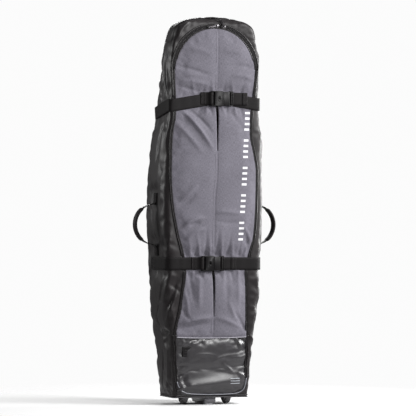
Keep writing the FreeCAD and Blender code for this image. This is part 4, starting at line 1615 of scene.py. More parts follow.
    def build_boot(self) -> None:
        """The glossy lower panel, its corner patches, badge, piping and foot binding."""
        z = np.arange(0.036, 0.292, 0.010)
        left = np.stack([FORM.lid_edge(Side.LEFT, z, 0.001), z], 1)
        right = np.stack([FORM.lid_edge(Side.RIGHT, z, 0.001), z], 1)
        outline = np.vstack([right, left[::-1]])
        folds = fold_table([
            (-143, 60, -110, 74, -65, 83, 75, 65, 1),
            (-143, 50, -100, 58, -50, 66, -45, 80, 1),
            (-145, 118, -120, 128, -85, 140, -55, 70, 1),
            (-146, 134, -120, 142, -90, 150, 40, 60, 1),
            (-147, 152, -120, 158, -95, 160, -35, 60, 1),
            (148, 158, 100, 150, 50, 162, -45, 100, 1),
            (148, 196, 100, 182, 30, 188, 42, 120, 1),
            (148, 226, 110, 205, 50, 205, -35, 100, 1),
            (92, 278, 110, 252, 140, 215, 50, 60),
            (112, 280, 128, 260, 145, 240, -45, 50),
            (125, 281, 138, 266, 149, 256, 40, 50),
            (40, 165, 70, 150, 90, 130, 35, 100),
            (147, 110, 120, 128, 85, 135, 42, 80, 1),
            (-60, 270, 10, 262, 80, 272, -25, 140),
        ])
        small = Crumple(11, 9, (-0.10, 0.10), (0.11, 0.26), 8, 20, (0.05, 0.12), (0.0008, 0.0018), (0.006, 0.012))
        folds += small.folds()
        boot = BootPanel(
            "boot_cloth", outline, Facing.FRONT, 0.0042, folds=folds, settling=Settling(0.03, 0.5, 18, 0.004)
        )
        piece = boot.build()
        dress(piece, COATED, replaces=("boot_panel",))
        boot.flat_size()
        for side in Side:
            s = side.value
            corner = np.array([(s * 0.146, 0.042), (s * 0.092, 0.042), (s * 0.120, 0.072), (s * 0.146, 0.118)])
            patch = PatchPanel(f"{side.word}_corner_patch", corner, Facing.FRONT, 0.005, thick=0.0016, offset=0.0022)
            dress(patch.build(), BINDING, replaces=("corner_patches",) if side is Side.LEFT else ())
        self.build_badge()
        for side in Side:
            z = np.arange(0.060 if side is Side.LEFT else 0.105, 0.284, 0.006)
            for k, (beside, r, proud) in enumerate(((0.0045, 0.0034, 0.0018), (-0.0030, 0.0028, 0.0012))):
                wave = 0.0012 * np.sin(z * 60 + k) + 0.0008 * np.sin(z * 143)
                x = FORM.lid_edge(side, z, beside) + wave
                path = FORM.face(x, z, Facing.FRONT) + np.array([0, -proud, 0])
                tube = sweep(f"{side.word}_boot_piping_{k}", path, ways(FRONTWARD, len(z)), round_profile(r))
                dress(tube, BINDING, replaces=("boot_piping",) if side is Side.LEFT and k == 0 else ())
        corner = [
            (-0.147, 0.094), (-0.140, 0.074), (-0.126, 0.056), (-0.104, 0.046), (-0.06, 0.0425), (0.0, 0.041),
            (0.07, 0.0415), (0.112, 0.045), (0.135, 0.056), (0.144, 0.078), (0.148, 0.105),
        ]
        flat = bend(np.array(corner), 0.004)
        path = FORM.face(flat[:, 0], flat[:, 1], Facing.FRONT) + np.array([0, -0.0058, 0])
        rim = sweep("foot_binding", path, ways(FRONTWARD, len(path)), round_profile(0.0022))
        dress(rim, RIM)

    def build_badge(self) -> None:
        """A plain embossed square with a raised rim."""
        low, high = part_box("boot_badge")
        x0, x1, z0, z1 = low.x, high.x, low.z, high.z
        n = 33
        u, v = np.meshgrid(np.linspace(0, 1, n), np.linspace(0, 1, n), indexing="ij")
        edge = np.minimum(np.minimum(u, 1 - u), np.minimum(v, 1 - v)) * (x1 - x0)
        rim = np.exp(-(((edge - 0.0030) / 0.0009) ** 2))
        bars = ((np.abs(u - 0.5) < 0.25) & (np.abs(np.abs(v - 0.5) - 0.10) < 0.035)).astype(float)
        lift = 0.0012 * smooth(edge, 0, 0.0008) + 0.0007 * rim + 0.0005 * bars
        points = FORM.face(x0 + u * (x1 - x0), z0 + v * (z1 - z0), Facing.FRONT)
        points[..., 1] -= lift + 0.0042
        piece = mesh_object(
            "boot_badge_square", points.reshape(-1, 3), grid_faces(n, n), np.stack([u, v], -1).reshape(-1, 2) * 0.04
        )
        face_outward(piece, ways(FRONTWARD, n * n))
        dress(thicken(piece, 0.0045), BUCKLE, replaces=("boot_badge",))


# ---------------------------------------------------------------- gusset band
@dataclass
class GussetBand:
    """One long strip of black cloth: up the left side, over the crown and down the right side."""

    columns: int = 50
    step: float = 0.0060
    rays: int = 84

    def stations(self, step: float) -> tuple[Array, Array, Array, Array, Array]:
        """Where the strip's cross-sections stand.

        Args:
            step: distance between them.

        Returns:
            Heights of their origins, outward directions, reach of the front seam and of the back seam, and
            distance along the strip.
        """
        z = np.linspace(0.034, FOLD_Z, round((FOLD_Z - 0.034) / step))
        phi = np.linspace(-90, 90, round(0.63 / step))[1:-1]
        turn = np.radians(phi)
        ones = np.ones(len(z))
        heights = np.concatenate([z, np.full(len(phi), FOLD_Z), z[::-1]])
        out = np.concatenate(
            [np.stack([-ones, 0 * z], 1), np.stack([np.sin(turn), np.cos(turn)], 1), np.stack([ones, 0 * z], 1)]
        )
        arch = np.full(len(phi), FORM.ARCH_R)
        front = np.concatenate([-FORM.lid_edge(Side.LEFT, z, 0), arch, FORM.lid_edge(Side.RIGHT, z, 0)[::-1]])
        side, up = np.abs(np.sin(turn)) / 0.1656, np.cos(turn) / 0.130
        back = np.concatenate([FORM.back_seam(z), 1 / (side**2.6 + up**2.6) ** (1 / 2.6), FORM.back_seam(z)[::-1]])
        along = np.concatenate([z, FOLD_Z + 0.2 * (turn + np.pi / 2), FOLD_Z + 0.2 * np.pi + (FOLD_Z - z[::-1])])
        return heights, out, front, back, along

    def grid(self, step: float, columns: int) -> tuple[Array, Array, Array]:
        """The strip on the bag's outline.

        Args:
            step: distance between the cross-sections.
            columns: points in each.

        Returns:
            Points, the strip's pattern (along, and across from the front seam) and outward directions.
        """
        heights, out, front, back, along = self.stations(step)
        n = len(heights)
        centre = (FORM.front(heights) + FORM.back(heights)) / 2
        way = np.stack([out[:, 0], np.zeros(n), out[:, 1]], 1)
        origin = np.stack([np.zeros(n), centre, heights], 1) + way * 0.10
        start = np.arctan2(FORM.front(heights) - centre, front - 0.10)
        share = np.linspace(0, 1, self.rays)
        angle = start[:, None] + (math.radians(112) - start)[:, None] * share
        ray = way[:, None] * np.cos(angle)[..., None] + np.array([0, 1.0, 0]) * np.sin(angle)[..., None]
        cast = FORM.cast(np.broadcast_to(origin[:, None], ray.shape), ray)
        reach = ((cast - np.stack([np.zeros(n), np.zeros(n), heights], 1)[:, None]) * way[:, None]).sum(-1)
        points, width = np.zeros((n, columns, 3)), np.zeros((n, columns))
        for i in range(n):
            k = int(np.argmax((angle[i] > 0.3) & (reach[i] < back[i])))
            t = (reach[i, k - 1] - back[i]) / (reach[i, k - 1] - reach[i, k])
            line = np.vstack([cast[i, :k], cast[i, k - 1] + (cast[i, k] - cast[i, k - 1]) * t])
            d = np.concatenate([[0], np.cumsum(np.linalg.norm(np.diff(line, axis=0), axis=1))])
            width[i] = np.linspace(0, d[-1], columns)
            points[i] = np.stack([np.interp(width[i], d, line[:, j]) for j in range(3)], 1)
        for _ in range(4):
            around = points[2:, 1:-1] + points[:-2, 1:-1] + points[1:-1, 2:] + points[1:-1, :-2]
            points[1:-1, 1:-1] = points[1:-1, 1:-1] / 2 + around / 8
        outward = FORM.outward(points, 0.003)
        for _ in range(3):
            outward[1:-1, 1:-1] = unit(
                outward[1:-1, 1:-1] * 2 + outward[2:, 1:-1] + outward[:-2, 1:-1] + outward[1:-1, 2:] + outward[
                    1:-1, :-2
                ]
            )
        return points, np.stack([np.broadcast_to(along[:, None], width.shape), width], -1), outward

    def folds(self) -> list[Fold]:
        """Folds of both sides and of the crown, along the strip and across it from the lid's seam."""
        length = 2 * FOLD_Z + 0.2 * math.pi
        left = fold_table([
            (535, 55, 440, 60, 330, 105, 75, 90),
            (530, 85, 430, 100, 350, 150, -60, 90),
            (520, 30, 440, 28, 370, 55, -55, 80),
            (470, 20, 400, 40, 330, 40, 50, 70),
            (380, 110, 330, 80, 300, 20, 60, 70),
            (360, 150, 310, 120, 285, 60, -50, 70),
            (285, 12, 270, 60, 230, 110, 55, 70, 1),
            (280, 10, 300, 50, 310, 90, -50, 60, 1),
            (250, 30, 160, 50, 80, 45, 60, 80),
            (230, 80, 150, 85, 60, 110, -55, 90),
            (200, 15, 140, 30, 60, 20, -50, 70),
            (150, 100, 100, 70, 50, 60, 50, 70),
            (700, 20, 640, 45, 600, 60, 45, 70),
            (680, 60, 630, 70, 598, 78, -45, 70),
            (720, 100, 650, 85, 600, 95, 40, 70),
            (1140, 40, 1040, 50, 900, 90, 60, 100),
            (1130, 70, 1060, 75, 960, 110, -55, 100),
            (1120, 18, 1060, 24, 1010, 18, 40, 70),
            (1400, 30, 1300, 40, 1235, 30, 60, 80),
            (1420, 60, 1310, 65, 1225, 55, -55, 80),
            (1380, 80, 1300, 95, 1220, 80, 50, 80),
            (1300, 12, 1270, 18, 1235, 14, -30, 50),
            (1470, 12, 1500, 30, 1560, 40, 45, 90),
            (1440, 35, 1480, 50, 1530, 60, -40, 80),
        ])
        right = fold_table([
            (530, 40, 430, 50, 320, 100, 60, 100),
            (520, 80, 420, 100, 330, 140, -50, 100),
            (270, 14, 230, 40, 190, 90, 55, 70, 1),
            (200, 12, 150, 40, 70, 50, -50, 80),
            (240, 60, 150, 80, 70, 90, 55, 90),
            (1140, 30, 1040, 40, 900, 80, 55, 100),
            (1130, 60, 1040, 70, 930, 110, -50, 100),
            (1400, 30, 1300, 45, 1240, 40, 50, 90),
            (720, 50, 640, 60, 600, 70, 42, 80),
        ], length)
        patches = [
            Crumple(21, 26, (0.06, 0.015), (0.54, 0.24), 15, 40, (0.05, 0.13), (0.0015, 0.0038), (0.005, 0.009)),
            Crumple(22, 12, (1.21, 0.02), (1.42, 0.17), 5, 18, (0.06, 0.15), (0.0012, 0.0030), (0.005, 0.009)),
            Crumple(23, 14, (0.60, 0.02), (1.12, 0.28), 8, 25, (0.08, 0.20), (0.0010, 0.0024), (0.008, 0.014)),
            Crumple(
                24, 24, (length - 0.54, 0.015), (length - 0.06, 0.24), -15, 40, (0.05, 0.13), (0.0015, 0.0036),
                (0.005, 0.009),
            ),
            Crumple(
                25, 12, (length - 1.42, 0.02), (length - 1.21, 0.17), -5, 18, (0.06, 0.15), (0.0012, 0.0030),
                (0.005, 0.009),
            ),
            Crumple(
                26, 14, (length - 1.12, 0.02), (length - 0.60, 0.28), -8, 25, (0.08, 0.20), (0.0010, 0.0024),
                (0.008, 0.014),
            ),
            Crumple(27, 10, (1.50, 0.02), (1.86, 0.14), 10, 40, (0.05, 0.12), (0.0008, 0.0020), (0.007, 0.012)),
        ]
        return left + right + [f for patch in patches for f in patch.folds()]

    def build(self) -> None:
        """Settles, folds and thickens the strip."""
        points, pattern, outward = self.grid(self.step, self.columns)
        n, k = points.shape[:2]
        coarse, coarse_pattern, coarse_out = self.grid(0.0125, 22)
        share = np.broadcast_to(np.linspace(0, 1, 22), coarse.shape[:2])
        ends = smooth(coarse[..., 2], 0.036, 0.060)
        free = smooth(share, 0.0, 0.10) * (1 - smooth(share, 0.90, 1.0)) * ends
        free = free * free_of_straps(coarse, 0.027, 0.045) * free_of_anchors(coarse)
        low = 1 - smooth(coarse[..., 2], 0.50, 0.72)
        high = smooth(coarse[..., 2], 1.02, 1.12)
        slack = np.clip(0.35 + 0.65 * low + 0.35 * high, 0, 1)
        moved = Settling(0.05, 0.35, 20, 0.007, 0.25).run(coarse, coarse_out, 1 - free, 1 - slack)
        m = len(moved)
        relief = Relief(moved, (0, 0), (m - 1.0, 1.0))
        index = np.interp(pattern[:, 0, 0], coarse_pattern[:, 0, 0], np.arange(m))
        over = np.broadcast_to(np.linspace(0, 1, k), (n, k))
        at = np.stack([np.broadcast_to(index[:, None], (n, k)), over], -1).reshape(-1, 2)
        edge = np.minimum(np.linspace(0, 1, k), np.linspace(1, 0, k))[None]
        rest = smooth(edge, 0, 0.045) * smooth(points[..., 2], 0.034, 0.050) * free_of_anchors(points)
        belly = 0.0045 * np.sin(np.pi * np.linspace(0, 1, k))[None] ** 0.7 * free_of_straps(points, 0.026, 0.09)
        fold = 1.35 * folded(pattern.reshape(-1, 2), self.folds()).reshape(n, k) * free_of_straps(points, 0.0245, 0.036)
        lift = (belly + fold + relief(at).reshape(n, k)) * rest
        lift = np.where(points[..., 2] > 1.45, np.clip(lift, -0.005, 0.006), np.clip(lift, -0.009, 0.0105))
        shaped = points + outward * lift[..., None]
        piece = mesh_object("gusset_band", shaped.reshape(-1, 3), grid_faces(n, k), pattern.reshape(-1, 2)[:, ::-1])
        face_outward(piece, outward.reshape(-1, 3))
        area = float((np.diff(pattern[:, 0, 0]) * (pattern[1:, -1, 1] + pattern[:-1, -1, 1]) / 2).sum())
        dress(thicken(piece, 0.0014), CANVAS, replaces=("left_gusset", "right_gusset", "crown_panel"))
        float(pattern[-1, 0, 0] - pattern[0, 0, 0])
        self.bind(points, outward)

    def bind(self, points: Array, outward: Array) -> None:
        """Piping on both seams of the strip."""
        for name, column, r in (("lid_welt", 0, 0.0030), ("back_binding", -1, 0.0032)):
            path, out = points[:, column], outward[:, column]
            if column == 0:
                out = ways(FRONTWARD, len(path))
            else:
                out = unit(outward[:, -3] + np.array([0, 0.3, 0]))
            under = free_of_straps(path, 0.027, 0.034) if column == 0 else np.ones(len(path))
            scale = np.stack([0.35 + 0.65 * under] * 2, 1)
            centre = path + out * (0.0004 - 0.0012 * (1 - under))[:, None]
            keep = path[:, 2] > (0.0 if column else 0.256)
            dress(sweep(name, centre[keep], out[keep], round_profile(r), scale[keep]), BINDING)


@dataclass
class Back:
    """The back panel with its quilting and base patch."""

    def build(self) -> None:
        """Cuts the panel, sews the channels and the wear patch."""
        z = np.concatenate([np.arange(0.036, FOLD_Z, 0.012), FOLD_Z + 0.130 * np.sin(np.linspace(0, np.pi / 2, 26))])
        half = np.maximum(FORM.back_seam(z), 0.0)
        right = np.stack([half, z], 1)
        left = np.stack([-half, z], 1)[::-1][1:]
        lines = []
        for level in np.arange(0.10, 1.40, 0.165):
            w = float(FORM.back_seam(level)) - 0.012
            lines.append(np.stack([np.linspace(-w, w, 30), np.full(30, level)], 1))
        wrinkles = Crumple(31, 22, (-0.13, 0.08), (0.13, 1.38), 20, 60, (0.05, 0.14), (0.0008, 0.0022), (0.008, 0.016))
        folds = wrinkles.folds()
        back = BackPanel(
            "back_cloth",
            np.vstack([right, left]),
            Facing.BACK,
            0.0068,
            creases=lines,
            folds=folds,
            settling=Settling(0.03, 0.5, 16, 0.005),
        )
        piece = back.build()
        dress(piece, BACKCLOTH, replaces=("back_panel",))
        back.flat_size()
        for k, line in enumerate(lines):
            dropped(piece, f"back_quilting_{k}", line, Facing.BACK, THREAD)
        w = float(FORM.back_seam(0.10)) - 0.004
        low, high = 0.040, 0.175
        outline = np.array([(-w, low), (w, low), (w, high), (-w, high)])
        dress(PatchPanel("back_wear_patch", outline, Facing.BACK, 0.008, thick=0.0018, offset=0.0085).build(), PATCH)


# ---------------------------------------------------------------- lining
@dataclass
class Lining:
    """Quilted foam sheets inside the back and both sides, seen when the flap is open."""

    inset: float = 0.0042
    thick: float = 0.0046

    def pad(self, name: str, inner: Array, outer: Array, pattern: Array, node: str) -> None:
        """A closed pad between two grids of points."""
        n, k = inner.shape[:2]
        faces = grid_faces(n, k).tolist()
        top = [[i + n * k for i in reversed(f)] for f in faces]
        first, last = [i * k for i in range(n)], [i * k + k - 1 for i in range(n - 2, -1, -1)]
        ring = first + [(n - 1) * k + j for j in range(1, k)] + last + list(range(k - 2, 0, -1))
        rim = [[a, b, b + n * k, a + n * k] for a, b in zip(ring, ring[1:] + ring[:1])]
        points = np.vstack([inner.reshape(-1, 3), outer.reshape(-1, 3)])
        uv = np.vstack([pattern.reshape(-1, 2)] * 2)
        piece = close_up(mesh_object(name, points, faces + top + rim, uv))
        dress(piece, LINING, replaces=(node,))

    def quilt(self, a: Array, b: Array) -> Array:
        """How full the pad is between its diamond stitching."""
        p, q = np.sin(np.pi * (a + b) / 0.085), np.sin(np.pi * (a - b) / 0.085)
        return 0.35 + 0.65 * (np.abs(p) * np.abs(q)) ** 0.4

    def build(self) -> None:
        """Back pad and both side pads."""
        z = np.linspace(0.096, 1.438, 180)
        t = np.linspace(-1, 1, 48)
        zz, tt = np.meshgrid(z, t, indexing="ij")
        xx = tt * (FORM.half(zz) - FORM.back_r(zz) - 0.001)
        full = self.quilt(xx, zz) * np.minimum(1, (1 - np.abs(tt)) * 12 + 0.3)
        outer = np.stack([xx, FORM.back(zz) - self.inset, zz], -1)
        inner = outer - np.array([0, 1, 0]) * (full * self.thick)[..., None]
        self.pad("back_lining", inner, outer, np.stack([xx, zz], -1), "back_foam")
        t = np.linspace(0, 1, 30)
        zz, tt = np.meshgrid(z, t, indexing="ij")
        start = FORM.front(zz) + FORM.front_r(zz) + 0.010
        yy = start + tt * (FORM.back(zz) - FORM.back_r(zz) - start)
        full = self.quilt(yy, zz) * np.minimum(1, np.minimum(tt, 1 - tt) * 14 + 0.3)
        for side in Side:
            outer = np.stack([side.value * (FORM.half(zz) - self.inset), yy, zz], -1)
            inner = outer - np.array([side.value, 0, 0]) * (full * self.thick)[..., None]
            self.pad(side.word + "_lining", inner, outer, np.stack([yy, zz], -1), side.word + "_foam")


# ---------------------------------------------------------------- zips
@dataclass
class Zips:
    """The arched zip in two halves, the closed runs down both sides, sliders and pulls."""

    chain_r: float = 0.174
    tooth: float = 0.0030
    tape_y: float = -0.1122
    chain_y: float = -0.1124

    def arch(self, r: float, y: float, start: float = 0.6) -> Array:
        """Points of a half circle over the fold line."""
        a = np.radians(np.linspace(180 - start, start, 160))
        return np.stack([r * np.cos(a), np.full(160, y), FOLD_Z + r * np.sin(a)], 1)

    def half_arch(self, name: str, r: float, grow: int, body: str, node: str) -> None:
        """One half of the arched zip: its tape and its teeth."""
        out = ways(FRONTWARD, 160)
        near_end = 1 - smooth(np.sin(np.linspace(0, np.pi, 160)), 0.0, 0.45)
        line = self.arch(r, self.tape_y)
        tape_centre, chain_centre = np.array([0, self.tape_y, FOLD_Z]), np.array([0, self.chain_y, FOLD_Z])
        line += unit(line - tape_centre) * (near_end * 0.0026 * -grow)[:, None]
        slim = np.stack([1 - 0.5 * near_end, np.ones(160)], 1)
        tape = sweep(name + "_tape", line, out, flat_profile(0.0092, TAPE_THICK, 3), slim)
        dress(tape, TAPE, body, (node,))
        crest = line + unit(line - tape_centre) * (grow * (0.0040 - 0.0022 * near_end))[:, None]
        ridge = sweep(name + "_fold", crest, out, round_profile(0.0010, 6))
        dress(ridge, TAPE, body)
        line = even(self.arch(self.chain_r + grow * 0.0004, self.chain_y, 1.0 if grow > 0 else 6.0), self.tooth)
        spots = line + unit(line - chain_centre) * grow * 0.0006
        shift = unit(np.gradient(line, axis=0)) * (self.tooth / 4 * grow)
        along = unit(spots - chain_centre)
        teeth = studs(name + "_teeth", spots + shift, along, out[:1].repeat(len(spots), 0), (0.0030, 0.0013, 0.0013))
        dress(teeth, TEETH, body)

    def side_run(self, side: Side) -> None:
        """Closed zip beside the lid, flattened where the straps cross it."""
        z = np.append(np.arange(0.272, 1.336, 0.004), 1.3385)
        path = FORM.face(FORM.lid_edge(side, z, 0.0060), z, Facing.FRONT)
        under = free_of_straps(path, 0.027, 0.032)
        out = FORM.outward(path)
        centre = path + out * (0.0003 + 0.0012 * under)[:, None]
        tape = sweep(side.word + "_side_tape", centre, out, flat_profile(0.0095, TAPE_THICK, 3))
        dress(tape, TAPE, replaces=(side.word + "_side_zip",))
        spots = even(np.hstack([centre, out]), self.tooth / 2)
        seen = free_of_straps(spots[:, :3], 0.027, 0.032) > 0.9
        turn = np.where(np.arange(len(spots)) % 2, 1, -1)[:, None]
        across = unit(np.cross(spots[:, 3:], np.gradient(spots[:, :3], axis=0)))
        places = spots[:, :3] + across * turn * 0.0008 + unit(spots[:, 3:]) * 0.0002
        teeth = studs(
            side.word + "_side_teeth",
            places[seen],
            across[seen],
            unit(spots[:, 3:])[seen],
            (0.0030, 0.0011, 0.0012),
        )
        dress(teeth, TEETH)

    def build(self) -> None:
        """All runs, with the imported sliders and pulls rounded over."""
        self.half_arch("flap_zip", 0.1690, -1, "flap", "flap_zip")
        self.half_arch("arch_zip", 0.1790, 1, "bag", "arch_zip")
        welt = sweep(
            "arch_inner_welt", self.arch(0.1655, self.chain_y, 14), ways(FRONTWARD, 160), round_profile(0.0020, 8)
        )
        dress(welt, BINDING, "flap")
        for side in Side:
            self.side_run(side)
            rounded(side.word + "_slider", 0.0008, ZIP_METAL)
            rounded(side.word + "_pull", 0.0005, ZIP_METAL)


# ---------------------------------------------------------------- straps and buckles
@dataclass
class Strap:
    """A compression strap: webbing round the front, its doubled ends, and the side-release buckle."""

    line: StrapLine
    wide: float = 0.050
    thick: float = 0.0019

    def length_of(self, side: Side) -> None:
        """One end of the strap, from the buckle round the corner to its sewn end."""
        node = f"{self.line.name}_strap_{side.word}"
        low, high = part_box(node)
        start, corner, end = self.line.heights(side)
        s = side.value
        half = max(abs(low.x), abs(high.x)) - 0.001
        front = low.y + 0.001
        x0 = high.x if side is Side.LEFT else low.x
        r = float(max(FORM.front_r(corner - HALF_WEB), FORM.front_r(corner + HALF_WEB))) + 0.0045
        xs = np.linspace(x0, s * (half - r), 26)
        flat = np.stack([xs, np.full(26, front), start + (corner - start) * (xs - x0) / (xs[-1] - x0)], 1)
        a = np.linspace(0, np.pi / 2, 9)[1:]
        turn = np.stack([s * (half - r + r * np.sin(a)), front + r - r * np.cos(a), np.full(8, corner)], 1)
        ys = np.linspace(front + r, high.y, 26)[1:]
        fall = (ys - front - r) / (high.y - front - r)
        tuck = 0.0022 * smooth(fall, 0.72, 1.0)
        side_run = np.stack([s * (half - tuck), ys, corner + (end - corner) * fall], 1)
        path = np.vstack([flat, turn, side_run])
        out = np.vstack([ways(FRONTWARD, 26), np.stack([s * np.sin(a), -np.cos(a), 0 * a], 1), ways((s, 0.0, 0.0), 25)])
        wave = np.sin(np.arange(len(path)) * 0.9) * 0.00025
        piece = sweep(node + "_webbing", path + out * wave[:, None], out, flat_profile(self.wide, self.thick))
        dress(piece, WEB, replaces=(node,))
        box_x = path[-9:-2]
        up = np.array([0, 0, 0.0205])
        ring = np.vstack([box_x + up, box_x[::-1] - up, box_x[:1] + up])
        cross = np.linspace(box_x[0] + up, box_x[-1] - up, 12)
        other = np.linspace(box_x[0] - up, box_x[-1] + up, 12)
        for k, part in enumerate((ring, cross, other)):
            stitched(f"{node}_box_{k}", part + np.array([s * 0.0010, 0, 0]), ways((s, 0.0, 0.0), len(part)), "bag")

    def over(
        self,
        name: str,
        corners: Sequence[tuple[float, float]],
        body: str,
        z: float,
        wide: float = 0.0,
        replaces: Sequence[str] = (),
    ) -> None:
        """Webbing bent through points given as x and y at one height."""
        path = bend(np.array([(x, y, z) for x, y in corners]), 0.0022)
        ahead = unit(np.gradient(path, axis=0))
        out = unit(np.cross(ahead, (0, 0, 1.0)))
        out = out if out[len(out) // 8, 1] < 0 else -out
        dress(sweep(name, path, out, flat_profile(wide or self.wide, 0.0013)), WEB, body, replaces)

    def ends(self) -> None:
        """The doubled end on the socket's bar and the tail through the plug's ladder."""
        low, high = self.line.buckle
        x, y, z = low.x + 0.047, high.y, (low.z + high.z) / 2
        name = self.line.name
        doubled = [
            (x - 0.088, y - 0.0008), (x - 0.080, y - 0.0012), (x - 0.066, y - 0.0024), (x - 0.056, y - 0.0050),
            (x - 0.050, y - 0.0098), (x - 0.047, y - 0.0114), (x - 0.041, y - 0.0116), (x - 0.0365, y - 0.0095),
            (x - 0.0362, y - 0.0010),
        ]
        self.over(name + "_strap_keeper", doubled, "bag", z)
        for dx in (0.070, 0.084):
            column = np.array(
                [(x - dx, y - (0.0031 if dx < 0.08 else 0.0018), z + dz) for dz in np.linspace(-0.021, 0.021, 9)]
            )
            stitched(f"{name}_keeper_thread_{round(dx * 1000)}", column, ways(FRONTWARD, 9), "bag", THREAD, 0.004)
        tail_low, tail_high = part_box(name + "_strap_tail")
        face = (tail_low.y + tail_high.y) / 2
        tail = [
            (tail_high.x, face + 0.0004), (tail_high.x - 0.02, face), (x + 0.060, face), (x + 0.050, face + 0.0010),
            (x + 0.044, face + 0.0002), (x + 0.0422, y - 0.0070), (x + 0.0415, y - 0.0118),
            (x + 0.0380, y - 0.0126), (x + 0.0350, y - 0.0118), (x + 0.0343, y - 0.0070), (x + 0.0340, y - 0.0018),
        ]
        self.over(name + "_strap_tail_loop", tail, name + "_plug", z, replaces=(name + "_strap_tail",))
        flap = [
            (tail_high.x - 0.022, face - 0.0015),
            (tail_high.x - 0.002, face - 0.0017),
            (tail_high.x + 0.0006, face - 0.0010),
            (tail_high.x - 0.001, face + 0.0002),
        ]
        self.over(name + "_tail_hem", flap, name + "_plug", z, 0.0498)
        column = np.array([(tail_high.x - 0.014, face - 0.0023, z + dz) for dz in np.linspace(-0.021, 0.021, 9)])
        stitched(name + "_tail_thread", column, ways(FRONTWARD, 9), name + "_plug", THREAD, 0.004)

    def buckle(self) -> None:
        """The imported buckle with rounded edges, ribs on the socket and a raised thumb panel."""
        name = self.line.name
        for part, width in (
            ("_buckle_socket", 0.0013), ("_buckle_plug", 0.0010), ("_prong_top", 0.0009), ("_prong_bottom", 0.0009)
        ):
            rounded(name + part, width, BUCKLE)
        low, high = self.line.buckle
        z = (low.z + high.z) / 2
        for k, dx in enumerate((0.0195, 0.0235, 0.0475)):
            column = np.array([(low.x + dx, low.y - 0.0001, z + dz) for dz in np.linspace(-0.021, 0.021, 12)])
            taper = np.stack([np.sin(np.pi * np.linspace(0.08, 0.92, 12)) ** 0.4] * 2, 1)
            rib = sweep(f"{name}_socket_rib_{k}", column, ways(FRONTWARD, 12), round_profile(0.0008, 8), taper)
            dress(rib, BUCKLE)
        n = 21
        u, v = np.meshgrid(np.linspace(-1, 1, n), np.linspace(-1, 1, n), indexing="ij")
        r = np.hypot(u, v)
        lift = 0.0009 * (1 - smooth(r, 0.80, 0.98)) - 0.0006 * (1 - smooth(r, 0.35, 0.75))
        pts = np.stack([low.x + 0.0355 + u * 0.0095, low.y + 0.0003 - lift, z + v * 0.0135], -1)
        panel = mesh_object(
            name + "_thumb_panel", pts.reshape(-1, 3), grid_faces(n, n), np.stack([u, v], -1).reshape(-1, 2) * 0.02
        )
        face_outward(panel, ways(FRONTWARD, n * n))
        dress(thicken(panel, 0.0016), BUCKLE)

    def build(self) -> None:
        """Everything of one strap."""
        for side in Side:
            self.length_of(side)
        self.ends()
        self.buckle()


